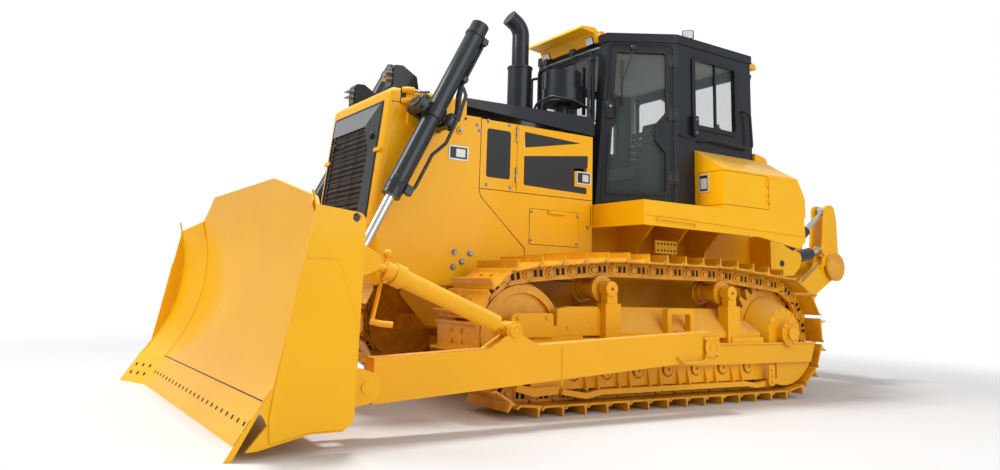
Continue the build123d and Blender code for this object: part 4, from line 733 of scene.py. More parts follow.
headBand = plate(noseLine(nose["band"]), "z", -0.004, 0.006, 0.002)
piece("grilleHeadBand", onNose([headBand]), paleBand)
cheek = plate(noseLine(nose["cheek"]), "z", -0.012, 0.01, 0.002)
piece("grilleCheek", onNose([cheek]), darkEnamel)
backSheet = plate(noseOblong(-nose["half"], nose["half"], nose["low"], nose["high"]), "z", -0.0165, -0.0135)
piece("grilleBackSheet", onNose([backSheet]), blackMesh)
grilleEdge = edging(noseOblong(*nose["edge"], 0.03), "z", -0.006, 0.0075, 0.016)
piece("grilleEdge", onNose([grilleEdge]), mouldedBlack, bevel=0.002)
knobX, knobZ = nose["knob"]
knobLine = [(0, 0.03), (0.01, 0.031), (0.022, 0.024), (0.024, 0.014)]
knob = turned(knobLine, (knobX, knobZ * stretch, 0.009), upward, 20)
piece("grilleKnobs", onNose([pair([knob])]), mouldedBlack)
tab = plate(noseOblong(*nose["tab"], 0.006), "z", 0.0, 0.014, 0.003)
piece("noseTabs", onNose([pair([tab])]), yellowEnamel)
slat = np.array([(0, -0.014), (0.011, 0.002), (0.006, 0.005), (-0.006, -0.012)])
slats = [plate(slat + (z * stretch, 0), "x", *nose["slatRun"]) for z in nose["slats"]]
piece("grilleBlades", onNose(slats), dustySlat)
uprights = [rod([(a, nose["low"] * stretch, 0.002), (a, nose["rodTop"] * stretch, 0.002)], 0.004)
            for a in nose["rods"]]
piece("grilleRods", onNose(uprights), mouldedBlack)
x0, x1, y0, y1 = nose["lamp"]
fins = [plate(oblong(x0, x1, z, z + 0.005, 0.001, 1), "y", y0, y1) for z in nose["fins"]]
piece("headlampFins", pair(fins), zincPlate)
lampLens = plate(oblong(*nose["lens"], 0.02), "y", -2.212, -2.2, 0.004)
piece("headlampLenses", pair([lampLens]), shadeLens)
print("nose and hood details made")


# Cab: rubber seals round the glass, lamps, grab tubes, wipers, locks and what shows inside.
# Corners of the plan are (x, y); places on a door are (share of its width, z).

cab = dict(
    front=(0.5, -0.095), pillar=(0.93, 0.55), rear=(0.9, 1.65), sill=1.7, lean=0.0672, side=0.7752,
    doorWindow=((0.12, 1.835), (0.12, 2.455), (0.2, 2.55), (0.2, 2.7), (0.12, 2.79), (0.12, 3.215),
                (0.87, 3.215), (0.87, 2.61), (0.74, 2.5), (0.74, 2.34), (0.87, 2.23), (0.87, 1.835)),
    doorLip=((0.02, 1.745), (0.02, 3.275), (0.935, 3.275), (0.935, 1.745)), hingeShare=0.95,
    sideWindow=(0.77, 1.41, 2.516, 3.214), midBar=(0.548, 0.574), screen=(-0.44, 0.44, 2.5, 3.22),
    rearWindow=(-0.77, 0.77, 2.33, 3.19), glassInset=0.034, sealOver=0.012,
    lock=(0.05, 0.155, 2.545, 2.705, 2.62), button=(0.1, 2.662, 2.66), hinges=(1.99, 2.6, 3.12),
    leafShares=(0.915, 0.985), leafHalf=0.062, lockBox=(0.179, 0.254, 2.415, 2.616),
    lockFoot=(0.03, 0.182, 2.392, 2.425), boxBolts=((0.216, 2.45), (0.216, 2.58)),
    sideRail=((0.905, 1.5, 2.776), (0.95, 1.52, 2.77), (0.95, 1.57, 2.735), (0.95, 1.59, 2.43),
              (0.955, 1.56, 2.388), (0.966, 0.957, 2.405), (0.966, 0.86, 2.385), (0.924, 0.825, 2.378)),
    screenRail=((0.47, -0.088, 3.14), (0.47, -0.16, 3.12), (0.47, -0.16, 2.42), (0.47, -0.088, 2.4)))
frontY, rearY = cab["front"][1], cab["rear"][1]


def levelRun(start, end):
    # the level unit vector from one corner of the plan to another
    run = np.array([*np.subtract(end, start), 0.0])
    return run / np.linalg.norm(run)


doorRun, flankRun = levelRun(cab["front"], cab["pillar"]), levelRun(cab["pillar"], cab["rear"])


def onDoor(shapes):
    # shapes made in (across the door, height, outward) from its front edge
    return laid(joined(shapes), (*cab["front"], 0), doorRun, upward)


def onFlank(shapes):
    # shapes made in (rearwards, height, outward) from the door's pillar
    return laid(joined(shapes), (*cab["pillar"], 0), flankRun, upward)


def doorAcross(share, z):
    # a place between the door's edges by share: the front one leans back with height, the hinge one doesn't
    start = cab["lean"] * (z - cab["sill"])
    return start * (1 - share / cab["hingeShare"]) + share * cab["side"]


def doorLine(places, radius, steps):
    return rounded([(doorAcross(share, z), z, radius) for share, z in places], steps)


def faceSeal(window, y, way):
    # the seal of a window that looks forward or back
    gap = inset(oblong(*window, 0.05), -cab["sealOver"])
    return edging(gap, "y", y - way * 0.03, y + way * 0.007, 0.026)


doorGap = doorLine(cab["doorWindow"], 0.045, 5)
doorSeals = [edging(inset(doorGap, -cab["sealOver"]), "z", -cab["glassInset"], 0.014, 0.03),
             edging(inset(doorGap, -2 * cab["sealOver"]), "z", -0.002, 0.006, 0.016)]
both("doorSeals", [onDoor(doorSeals)], rubberAndHoleShade, "cab_door_{}", 0.002)
y0, y1, z0, z1 = cab["sideWindow"]
pillarY = cab["pillar"][1]
sideGap = oblong(y0 - pillarY, y1 - pillarY, z0, z1, 0.055)
sideSeals = [edging(inset(sideGap, -0.02), "z", -cab["glassInset"], 0.014, 0.046),
             plate(oblong(*cab["midBar"], z0, z1, 0.002, 1), "z", -0.03, -0.008)]
windowSeals = [pair([onFlank(sideSeals)]), faceSeal(cab["screen"], frontY, -1),
               faceSeal(cab["rearWindow"], rearY, 1)]
piece("windowSeals", windowSeals, rubberAndHoleShade, bevel=0.002)
doorLip = edging(doorLine(cab["doorLip"], 0.03, 4), "z", -0.001, 0.005, 0.01)
both("doorLips", [onDoor([doorLip])], rubberAndHoleShade, "cab_door_{}", 0.001)
share0, share1, z0, z1, z = cab["lock"]
doorLock = plate(oblong(doorAcross(share0, z), doorAcross(share1, z), z0, z1, 0.022), "z", 0.0, 0.022, 0.006)
both("doorLocks", [onDoor([doorLock])], darkEnamel, "cab_door_{}")
share, buttonZ, z = cab["button"]
buttonPlace = (doorAcross(share, z), buttonZ, 0.021)
button = turned([(0, 0.014), (0.01, 0.014), (0.012, 0.01)], buttonPlace, upward, 16)
both("lockButtons", [onDoor([button])], zincPlate, "cab_door_{}")
half = cab["leafHalf"]
for share, name in zip(cab["leafShares"], ("door", "pillar")):
    middle = cab["side"] * share - 0.003
    outlines = [oblong(middle - 0.023, middle + 0.023, z - half, z + half, 0.008) for z in cab["hinges"]]
    leaves = [plate(outline, "z", 0.004, 0.013, 0.002) for outline in outlines]
    heads = [(middle + a, z + b, 0.012) for z in cab["hinges"] for a in (-0.01, 0.01)
             for b in (-0.036, 0.036)]
    leaves, heads = onDoor(leaves), onDoor([bolts(heads, upward, 0.007)])
    if name == "door":
        both("doorHingeLeaves", [leaves], mouldedBlack, "cab_door_{}")
        both("doorHingeBolts", [heads], cylinderEnamel, "cab_door_{}")
    else:
        piece("pillarHingeLeaves", pair([leaves]), mouldedBlack)
        piece("pillarHingeBolts", pair([heads]), cylinderEnamel)

# outside the shell: grab tubes, the lock box behind the pillar, lamps on short feet, beacon and wipers
tubes = [rod(cab["sideRail"], 0.013, 0.03), rod(cab["screenRail"], 0.015, 0.03)]
piece("grabTubes", pair(tubes), darkEnamel)
lockBox = [plate(oblong(*cab["lockBox"], 0.012), "z", 0.0, 0.048, 0.006),
           plate(oblong(*cab["lockFoot"], 0.008), "z", 0.0, 0.016, 0.003)]
piece("pillarLocks", pair([onFlank(lockBox)]), darkEnamel)
boxBolts = bolts([(*spot, 0.047) for spot in cab["boxBolts"]], upward, 0.01)
piece("pillarBolts", pair([onFlank([boxBolts])]), zincPlate)

lamp = dict(
    width=0.11, height=0.085, depth=0.07, ribs=6, rim=0.007,
    places=(((0.93, 0.705, 3.43), -50, 0.25), ((0.35, -0.062, 3.352), -90, 0.3),
            ((0.59, 1.985, 3.27), 90, 0.35)),
    feet=(((0.905, 0.69, 3.3), (0.915, 0.7, 3.395)), ((0.35, 0.03, 3.44), (0.35, 0.01, 3.36)),
          ((0.59, 1.8, 3.372), (0.59, 1.9, 3.345), (0.59, 1.925, 3.29))), beacon=(0.2, 0.22),
    beaconFoot=3.408, beaconLens=3.412)


def workLamp(middle, heading, tilt):
    # a cast lamp: a ribbed box behind a flat lens; it faces the heading in degrees, tilted down in radians
    w, h, d, rim = lamp["width"] / 2, lamp["height"] / 2, lamp["depth"], lamp["rim"]
    box = plate(oblong(-w, w, -h, h, 0.014), "z", -d, 0.0, 0.004)
    ribs = [plate(oblong(a - 0.003, a + 0.003, -h + 0.01, h - 0.01, 0.001, 1), "z", -d - 0.014, -d + 0.001)
            for a in np.linspace(2 * rim - w, w - 2 * rim, lamp["ribs"])]
    lens = plate(oblong(rim - w, w - rim, rim - h, h - rim, 0.01), "z", -0.001, 0.003, 0.001)
    turn = math.radians(heading)
    out = np.array([math.cos(turn) * math.cos(tilt), math.sin(turn) * math.cos(tilt), -math.sin(tilt)])
    across = np.cross(upward, out)
    across /= np.linalg.norm(across)
    return [laid(shape, middle, across, np.cross(out, across)) for shape in (joined([box, *ribs]), lens)]


lampBodies, lampLenses = zip(*(workLamp(*place) for place in lamp["places"]))
lampFeet = [rod(run, 0.01, 0.02 if len(run) > 2 else 0.0) for run in lamp["feet"]]
piece("workLamps", pair([*lampBodies, *lampFeet]), mouldedBlack)
piece("workLampLenses", pair(lampLenses), mainLens)
beaconLens = turned([(0.016, 0.04), (0.02, 0.043), (0.11, 0.041), (0.135, 0.03), (0.142, 0.012)],
                    (*lamp["beacon"], lamp["beaconLens"]), upward)
piece("beaconLens", beaconLens, amber)
beaconFoot = turned([(0, 0.055), (0.01, 0.055), (0.016, 0.046), (0.022, 0.046)],
                    (*lamp["beacon"], lamp["beaconFoot"]), upward)
piece("beaconFoot", beaconFoot, mouldedBlack)

wiper = dict(arms=((0.17, 0.33), (-0.27, -0.11)), motor=(3.235, 3.3), hub=3.262, joint=2.86,
             blade=(2.6, 3.08), thick=0.006, bladeRound=0.003,
             doorMotor=((0.33, 0.395), (3.228, 3.268), (0.0, 0.034)),
             doorArm=((0.362, 3.248, 0.028), (0.25, 2.9, 0.014)),
             doorBlade=((0.243, 0.257), (2.68, 3.12), (-0.022, 0.012)))
wiperArms = []
thick, bladeRound = wiper["thick"], wiper["bladeRound"]
for x0, x1 in wiper["arms"]:
    wiperArms += [brick((x0 - 0.035, x0 + 0.035), (frontY - 0.05, frontY - 0.004), wiper["motor"], thick),
                  rod([(x0, frontY - 0.046, wiper["hub"]), (x1, frontY - 0.032, wiper["joint"])], thick),
                  brick((x1 - 0.007, x1 + 0.007), (frontY - 0.03, frontY + 0.012), wiper["blade"],
                        bladeRound)]
doorWiper = [brick(*wiper["doorMotor"], thick), rod(wiper["doorArm"], thick),
             brick(*wiper["doorBlade"], bladeRound)]
piece("wipers", wiperArms, mouldedBlack)
both("doorWipers", [onDoor(doorWiper)], mouldedBlack, "cab_door_{}")

# the deep visor over the rear window
rearVisor = dict(half=0.64,
                 outline=((1.7, 3.425, 0.01), (1.8, 3.523, 0.02), (2.066, 3.442, 0.02),
                          (2.088, 3.392, 0.005), (2.078, 3.384), (1.864, 3.384, 0.01)))
rearHood = plate(rounded(rearVisor["outline"]), "x", -rearVisor["half"], rearVisor["half"], 0.006)
piece("rearVisorHood", rearHood, yellowEnamel)

# inside: pale headliner and rear posts, levers with round knobs, the ribs of the seat, an extinguisher
inside = dict(
    liner=((-0.44, -0.03), (0.44, -0.03), (0.85, 0.59), (0.83, 1.59), (-0.83, 1.59), (-0.85, 0.59)),
    linerZ=(3.262, 3.276), rearPost=(0.752, 0.826, 1.56, 1.598), rearPostZ=(2.24, 3.27),
    sidePost=(0.862, 0.884, 0.56, 0.64), sidePostZ=(2.25, 3.27), seatHalf=0.215,
    seatBack=(0.985, 2.05, 0.12), ribs=np.arange(2.06, 2.6, 0.075), ribHeight=0.06,
    levers=((0.43, 0.74), (0.43, 0.83), (-0.43, 0.76)), leverTop=2.52, console=(0.33, 1.06, 2.352),
    extinguisher=(0.6, 1.49, 2.36))
posts = [plate(oblong(*inside["rearPost"], 0.012), "z", *inside["rearPostZ"]),
         plate(oblong(*inside["sidePost"], 0.006), "z", *inside["sidePostZ"])]
liner = plate(inside["liner"], "z", *inside["linerZ"], 0.004)
piece("cabTrim", [liner, pair(posts)], paleTrim)
backY, backZ, backLean = inside["seatBack"]
seatShapes = []
for z in inside["ribs"]:
    y = backY + backLean * (z - backZ)
    rib = oblong(-inside["seatHalf"], inside["seatHalf"], z, z + inside["ribHeight"], 0.022)
    seatShapes.append(plate(rib, "y", y, y - 0.03, 0.008))
leverKnob = [(-0.024, 0.01), (-0.014, 0.02), (0.0, 0.025), (0.014, 0.02), (0.024, 0.008)]
for x0, y0 in inside["levers"]:
    seatShapes += [rod([(x0, y0, 2.355), (x0 * 0.97, y0 - 0.03, inside["leverTop"])], 0.009),
                   turned(leverKnob, (x0 * 0.97, y0 - 0.034, inside["leverTop"] + 0.02), (0, -0.1, 1), 16)]
switchLine = [(0, 0.028), (0.01, 0.03), (0.04, 0.014), (0.06, 0.01)]
seatShapes.append(turned(switchLine, inside["console"], upward, 14))
piece("seatAndLevers", seatShapes, blackVinyl)
bottle = turned([(0, 0.03), (0.006, 0.052), (0.25, 0.052), (0.285, 0.03), (0.3, 0.016), (0.33, 0.016)],
                inside["extinguisher"], upward, 20)
piece("extinguisher", bottle, redTank)
print("cab details made")


# Lift cylinders: ports, steel pipes and their clamp on the rear side, strap, caps on the trunnion bearings.
# A place beside a cylinder is (x, down its line from the top, out from it towards the rear).

lift = dict(
    x=0.82, top=(-1.61, 3.05), eye=(-2.862, 0.5), yoke=0.891, capOut=0.173, capShare=0.8,
    upperPipe=((0.115, 0.095), (0.18, 0.1), (0.56, 0.098)), pipeSides=(-0.02, 0.018), upperPipeRadius=0.011,
    mainPipe=((0.838, 0.56, 0.098), (0.89, 0.68, 0.104), (0.915, 0.85, 0.16), (0.915, 1.081, 0.166),
              (0.88, 1.213, 0.122), (0.868, 1.505, 0.124), (0.866, 1.552, 0.1)), mainPipeRadius=0.014,
    hosePipe=((0.8, 0.56, 0.098), (0.8, 0.64, 0.115), (0.78, 0.76, 0.18), (0.7, 0.82, 0.19)),
    hosePipeRadius=0.013, bend=0.05,
    ports=(((-0.045, 0.045), (0.085, 0.15), (0.066, 0.118)),
           ((-0.042, 0.042), (0.48, 0.525), (0.066, 0.116)),
           ((0.02, 0.072), (1.515, 1.59), (0.055, 0.122))),
    collar=(0.09, ((0.0, 0.0755), (0.002, 0.083), (0.03, 0.083), (0.032, 0.0755))),
    gland=(1.5, ((0.0, 0.0755), (0.002, 0.0785), (0.05, 0.0785), (0.054, 0.077), (0.11, 0.077),
                 (0.112, 0.0755))),
    cap=((0, 0.05), (0.008, 0.05), (0.01, 0.046), (0.01, 0.03), (0.006, 0.028), (0.006, 0.0)),
    strapX=0.862, strap=((0.578, 0.101), (0.622, 0.152), (0.848, 0.192)),
    strapHoleShade=(0.25, 0.5, 0.75, 0.93))
liftX, yoke = lift["x"], lift["yoke"]
fall = np.subtract(lift["eye"], lift["top"])
fall /= np.linalg.norm(fall)
square = np.array([-fall[1], fall[0]])
downward, backward = (0, *fall), (0, *square)


def beside(x, down, out):
    # a place beside the lift cylinder
    return np.array([x, *(np.array(lift["top"]) + fall * down + square * out)])


def block(across, down, out, round=0.005):
    # a block square to the lift cylinder, its first span measured from the cylinder's middle
    points, faces = brick(down, out, (liftX + across[0], liftX + across[1]), round)
    turnedBack = points * np.array([1.0, 1.0, -1.0]), [face[::-1] for face in faces]
    return laid(turnedBack, (0, *lift["top"]), downward, backward)


pipes = [rod([beside(liftX + a, *spot) for spot in lift["upperPipe"]], lift["upperPipeRadius"], lift["bend"])
         for a in lift["pipeSides"]]
pipes += [rod([beside(*spot) for spot in lift[name]], lift[name + "Radius"], lift["bend"])
          for name in ("mainPipe", "hosePipe")]
fittings = [block(*port) for port in lift["ports"]]
fittings += [turned(profile, beside(liftX, down, 0), downward, 40)
             for down, profile in (lift["collar"], lift["gland"])]
capBolts = []
for way in (-1, 1):
    fittings.append(turned(lift["cap"], beside(liftX, yoke, way * lift["capOut"]), (0, *(square * way))))
    middle = way * lift["capOut"] * lift["capShare"]
    fittings.append(block((0.07, 0.086), (yoke - 0.055, yoke + 0.055), (middle - 0.03, middle + 0.03)))
    capBolts += [beside(liftX + 0.085, yoke + down, middle) for down in (-0.04, 0.04)]
both("liftFittings", fittings + pipes, cylinderEnamel, "lift_barrel_{}", 0.001)
strapX = lift["strapX"]
strap = [beside(strapX, *spot)[1:] for spot in lift["strap"]]
liftBolts = [bolts(capBolts, outward, 0.014),
             bolts([beside(liftX + s, 0.118, 0.118) for s in (-0.032, 0.032)], backward, 0.008),
             bolts([beside(liftX, 0.502, 0.116)], backward, 0.009),
             strip(strap, "x", strapX, strapX + 0.004, 0.03)]
both("liftBolts", liftBolts, darkEnamel, "lift_barrel_{}")
# painted shade: a dark disc stands in each hole of the strap
spots = [strap[1] + (strap[2] - strap[1]) * share for share in lift["strapHoleShade"]]
holeShade = sideCaps(strapX - 0.0005, spots, [(0, 0.008), (0.0055, 0.008)], 12)
both("strapHoleShade", [holeShade], rubberAndHoleShade, "lift_barrel_{}")


# Blade: plow bolts along the edge, weld beads where the wings bend, gussets, a doubler on each end plate.

blade = dict(
    arc=(-4.358, 1.039), radius=1.276, bend=1.46, half=1.835, wing=0.148,
    edge=((-3.364, 0.2407), (-3.511, 0.0)), row=np.linspace(-1.4, 1.4, 23), cornerRow=(1.56, 1.66, 1.76),
    rowDown=(0.15,), cornerDown=(0.11, 0.19), headHalf=0.013, headProud=0.0022,
    bead=np.linspace(0.25, 1.44, 24), beadRadius=0.006, endBead=0.024, gusset=(1.458, 1.59),
    gussetZ=(1.285, 1.44, 1.39),
    doubler=((-3.316, 1.048, 0.01), (-3.116, 1.053, 0.03), (-2.985, 0.72, 0.05), (-2.966, 0.6, 0.03),
             (-2.966, 0.176, 0.02), (-3.024, 0.122, 0.02), (-3.212, 0.12, 0.03), (-3.43, 0.075, 0.01),
             (-3.442, 0.2, 0.02), (-3.424, 0.356, 0.03)), doublerProud=0.01)
edgeTop, edgeFoot = np.array(blade["edge"])
edgeDown = (edgeFoot - edgeTop) / np.linalg.norm(edgeFoot - edgeTop)
edgeOut = np.array([edgeDown[1], -edgeDown[0]])
wingRun = blade["half"] - blade["bend"]


def boardAt(z):
    # the front of the mouldboard at a height: a circle about the arc's middle
    return blade["arc"][0] + np.sqrt(blade["radius"] ** 2 - (z - blade["arc"][1]) ** 2)


def wingShift(x):
    # the wings come forward in proportion to the distance past the bend
    return -blade["wing"] * max(0.0, abs(x) - blade["bend"]) / wingRun


def onEdge(shape, x, down):
    # a shape laid on the edge's front, square to the wing where it stands past the bend
    y, z = edgeTop + edgeDown * down + edgeOut * 0.0005
    turn = -math.copysign(math.atan2(blade["wing"], wingRun), x) if abs(x) > blade["bend"] else 0.0
    across = np.array([math.cos(turn), math.sin(turn), 0.0])
    up = -np.array([0.0, *edgeDown])
    up = up - across * (up @ across)
    return laid(shape, (x, y + wingShift(x), z), across, up / np.linalg.norm(up))


def beadLine(x, proud):
    # a weld bead's route up the mouldboard
    z = blade["bead"]
    return np.stack([np.full(len(z), x), boardAt(z) + wingShift(x) - proud, z], -1)


# the plow bolts' heads are flat dark brown squares: painted shade of their countersunk holes
size = blade["headHalf"]
head = plate(oblong(-size, size, -size, size, 0.002, 1), "z", -0.002, blade["headProud"])
edgeHeads = [onEdge(head, x, down) for x in blade["row"] for down in blade["rowDown"]]
edgeHeads += [onEdge(head, x * way, down) for way in (-1, 1) for x in blade["cornerRow"]
              for down in blade["cornerDown"]]
piece("edgeBolts", edgeHeads, boltShadeAndJoint, "blade")
beads = [rod(beadLine(blade["bend"], 0.001), blade["beadRadius"], sides=8),
         rod(beadLine(blade["half"] - blade["endBead"], 0.0), blade["beadRadius"] + 0.001, sides=8)]
piece("bladeWelds", pair(beads), frameEnamel, "blade")
jointY, jointZ = edgeTop - (0.001, 0)
edgeJoint = rod([(-blade["bend"], jointY, jointZ), (blade["bend"], jointY, jointZ)], 0.004, sides=8)
piece("edgeJoint", edgeJoint, boltShadeAndJoint, "blade")
x0, x1 = blade["gusset"]
low, high, out = blade["gussetZ"]
gusset = np.array([(x0, boardAt(low) - 0.004, low), (x0, boardAt(high) - 0.004, high),
                   (x1, boardAt(out) + wingShift(x1) - 0.02, out)])
gussets = pair([loft([gusset, gusset - (0, 0.008, 0)])])
piece("bladeGussets", gussets, yellowEnamel, "blade", 0.002)
half = blade["half"]
doubler = plate(rounded(blade["doubler"]), "x", half - 0.002, half + blade["doublerProud"], 0.003)
piece("endDoublers", pair([doubler]), yellowEnamel, "blade")
print("cylinder and blade details made")


# Undercarriage: covers, caps and plugs on the axles, bolted hubs, trunnion caps, the arms' fittings.

under = dict(
    rollers=[(-0.895 + 0.335 * k, 0.3003) for k in range(7)], carriers=chain["carriers"], rollerFace=1.2115,
    carrierFace=1.2445, hubFace=1.303, hub=(1.605, 0.597), hubRing=(1.319, 0.092, 10),
    sprocketRing=(1.2405, 0.215, 14), trunnion=(0.21, 0.51), trunnionFace=1.601, lugRing=0.09,
    bearing=((-1.496, 0.566, 0.03), (-1.1, 0.566, 0.01), (-1.106, 0.747, 0.02), (-1.496, 0.743, 0.05)),
    recoil=((-1.054, 0.575, 0.01), (-1.054, 0.779, 0.03), (-0.923, 0.8, 0.03), (-0.628, 0.802, 0.04),
            (-0.556, 0.575, 0.01)), railTop=(0.62, 2.02, 0.5, 0.514), linkBar=(1.305, 1.385, 0.13, 0.312),
    rollerCap=((0, 0.05), (0.01, 0.05), (0.014, 0.045), (0.014, 0.024), (0.018, 0.022), (0.018, 0.0)),
    carrierCap=((0, 0.062), (0.012, 0.062), (0.016, 0.056), (0.016, 0.0)),
    hubCap=((0, 0.118), (0.012, 0.118), (0.016, 0.112), (0.016, 0.06)),
    trunnionCap=((0, 0.078), (0.01, 0.078), (0.014, 0.072), (0.014, 0.052), (0.009, 0.05), (0.009, 0.028),
                 (0.016, 0.026), (0.016, 0.0)),
    boltRows=((1.226, ((-1.436, 0.712), (-1.169, 0.712)), 0.016),
              (1.296, ((1.345, 0.165), (1.345, 0.22), (1.345, 0.275)), 0.014),
              (1.2, ((-0.95, 0.64), (-0.7, 0.64)), 0.011)))


def around(middle, radius, angles):
    # spots on a circle of a side face
    return np.array(middle) + radius * np.stack([np.cos(angles), np.sin(angles)], -1)


def boltRing(face, radius, count, size):
    # bolts in equal turns about the hub
    spots = around(under["hub"], radius, np.linspace(0, 2 * math.pi, count, endpoint=False))
    return sideBolts(face, spots, size)


frameParts = [sideCaps(under["rollerFace"], under["rollers"], under["rollerCap"], 20),
              sideCaps(under["carrierFace"], under["carriers"], under["carrierCap"], 20),
              plate(rounded(under["bearing"]), "x", 1.185, 1.226, 0.004),
              plate(rounded(under["recoil"]), "x", 1.12, 1.2, 0.006),
              plate(oblong(*under["railTop"], 0.003, 1), "x", 1.27, 1.292),
              plate(oblong(*under["linkBar"], 0.02), "x", 1.272, 1.296, 0.003),
              sideCaps(under["hubFace"], [under["hub"]], under["hubCap"], 36)]
piece("frameCovers", pair(frameParts), frameEnamel, bevel=0.001)
frameBolts = [boltRing(*under["hubRing"], 0.013), boltRing(*under["sprocketRing"], 0.012)]
frameBolts += [sideBolts(*row) for row in under["boltRows"]]
piece("frameBolts", pair(frameBolts), frameEnamel)
plugs = [sideCaps(under["rollerFace"] + 0.0175, under["rollers"],
                  [(0, 0.011), (0.003, 0.011), (0.004, 0.008)], 12),
         sideCaps(under["carrierFace"] + 0.0155, under["carriers"],
                  [(0, 0.013), (0.004, 0.013), (0.005, 0.009)], 12)]
piece("oilPlugs", pair(plugs), redPlug)
lugSpots = around(under["trunnion"], under["lugRing"], np.radians((45, 135, 225, 315)))
trunnion = [sideCaps(under["trunnionFace"], [under["trunnion"]], under["trunnionCap"], 32),
            sideCaps(under["trunnionFace"], lugSpots, [(0, 0.016), (0.014, 0.016), (0.018, 0.011)], 6)]
piece("trunnionCaps", pair(trunnion), frameEnamel)

arm = dict(
    handle=((1.586, -0.172, 0.436), (1.618, -0.16, 0.428), (1.618, -0.109, 0.392), (1.618, 0.1, 0.398),
            (1.618, 0.13, 0.42), (1.586, 0.135, 0.425)), handleRadius=0.011,
    weld=((1.59, -1.302, 0.262), (1.59, -1.302, 0.528)), pinFace=1.589, pin=(-2.801, 0.314),
    pinCap=((0, 0.055), (0.012, 0.055), (0.016, 0.05), (0.016, 0.04), (0.011, 0.038), (0.011, 0.0)),
    footFace=1.586, foot=(-1.711, 0.64),
    footCap=((0, 0.047), (0.014, 0.047), (0.018, 0.042), (0.018, 0.034), (0.013, 0.032), (0.013, 0.02),
             (0.018, 0.018), (0.018, 0.0)))
armParts = [rod(arm["handle"], arm["handleRadius"], 0.03), rod(arm["weld"], 0.006, sides=8),
            sideCaps(arm["pinFace"], [arm["pin"]], arm["pinCap"])]
both("armHandles", armParts, frameEnamel, "push_arm_{}")
footCap = sideCaps(arm["footFace"], [arm["foot"]], arm["footCap"])
piece("braceFootCap", footCap, frameEnamel, "push_arm_left")

# the brace's screw lever: a bar with a round knob, a nut below it, and a bent hook at its foot
lever = dict(
    bar=((1.4, -2.604, 1.105), (1.4, -2.686, 0.7)), barRadius=0.014, knob=(1.4, -2.602, 1.118),
    knobLine=((-0.03, 0.012), (-0.018, 0.026), (0.0, 0.031), (0.018, 0.026), (0.03, 0.012)),
    nut=(1.4, -2.628, 0.985), nutLine=((-0.03, 0.024), (0.03, 0.024)), lean=(0, 0.2, 1),
    hook=((1.4, -2.7, 0.69), (1.415, -2.64, 0.676), (1.44, -2.56, 0.668)), hookRadius=0.02)
leverParts = [rod(lever["bar"], lever["barRadius"]),
              turned(lever["knobLine"], lever["knob"], lever["lean"], 18),
              turned(lever["nutLine"], lever["nut"], lever["lean"], 8),
              rod(lever["hook"], lever["hookRadius"], 0.02)]
piece("braceLever", leverParts, frameEnamel, "brace")

fender = dict(
    handle=((1.268, -0.06, 1.532), (1.292, -0.035, 1.55), (1.292, 0.37, 1.54), (1.268, 0.408, 1.518)),
    handleRadius=0.009, plate=(0.285, 0.557, 1.281, 1.4), plateFace=0.9, holesZ=(1.31, 1.37),
    holesY=np.linspace(0.315, 0.527, 6), holeRadius=0.011)
face = fender["plateFace"]
holed = plate(oblong(*fender["plate"], 0.01), "x", face - 0.02, face, 0.002)
handle = rod(fender["handle"], fender["handleRadius"], 0.02)
piece("fenderFittings", pair([handle, holed]), yellowEnamel)
# painted shade: a dark disc stands in each punched hole
spots = [(y, z) for y in fender["holesY"] for z in fender["holesZ"]]
punchedShade = sideCaps(face - 0.0005, spots, [(0, fender["holeRadius"]), (0.002, fender["holeRadius"])], 12)
piece("punchedHoleShade", pair([punchedShade]), rubberAndHoleShade)

tankLatch = dict(face=0.782, frame=(0.975, 1.098, 1.868, 2.041), flap=(1.0, 1.074, 1.9, 2.0),
                 back=(0.983, 1.09, 1.876, 2.033))
face = tankLatch["face"]
tankFrames = [edging(oblong(*tankLatch["frame"], 0.014), "y", face, face - 0.009, 0.013),
              plate(oblong(*tankLatch["flap"], 0.006), "y", face, face - 0.012, 0.002)]
both("tankLatchFrames", tankFrames, brightTrim, "tank_door_{}")
tankBack = plate(oblong(*tankLatch["back"], 0.008), "y", face, face - 0.0055)
both("tankLatchBacks", [tankBack], mouldedBlack, "tank_door_{}")

# on the hood: the air hose from the pre-cleaner, and the rolled rims of the bowl and of the exhaust's shield
airLine = dict(
    route=((0.08, -0.54, 2.56), (0.12, -0.52, 2.69), (0.3, -0.48, 2.735), (0.43, -0.3, 2.7),
           (0.425, -0.1, 2.64), (0.4, -0.03, 2.54)), radius=0.013, bend=0.08, bowl=(0.2, -0.262, 2.69),
    bowlRim=((0, 0.15), (0.004, 0.201), (0.02, 0.203), (0.026, 0.196)), shield=(-0.06, -0.6, 3.05),
    shieldRim=((0, 0.1205), (0.004, 0.126), (0.022, 0.126), (0.026, 0.1205)))
airParts = [rod(airLine["route"], airLine["radius"], airLine["bend"]),
            turned(airLine["bowlRim"], airLine["bowl"], upward, 48),
            turned(airLine["shieldRim"], airLine["shield"], upward, 40)]
piece("airHoses", airParts, mouldedBlack)
print("undercarriage details made")


# Studio: a pale floor, one lamp nearly overhead, two broad ones from the side and the front, and a plain sky.
# A lamp is (name, place, watts, side); to the camera the floor turns plain white between the clear distances.

studio = dict(
    floor="#D2D2D0", floorHalf=60.0, seenFloor=0.62, clear=(4.2, 9.0), sky=0.6, aim=(0, 0, 1.2),
    lamps=(("key", (-0.8, -1.6, 11.0), 950.0, 2.0), ("side", (10.0, 1.0, 5.5), 400.0, 8.0),
           ("front", (-2.5, -9.0, 8.5), 560.0, 5.0)))
viewpoint = dict(place=(6.06, -4.789, 0.919), forward=(-0.8298, 0.5281, 0.1801),
                 right=(0.5416, 0.84, 0.0323), length=27.93, sensor=36.0, shift=(0.0077, -0.0887),
                 farthest=200.0)


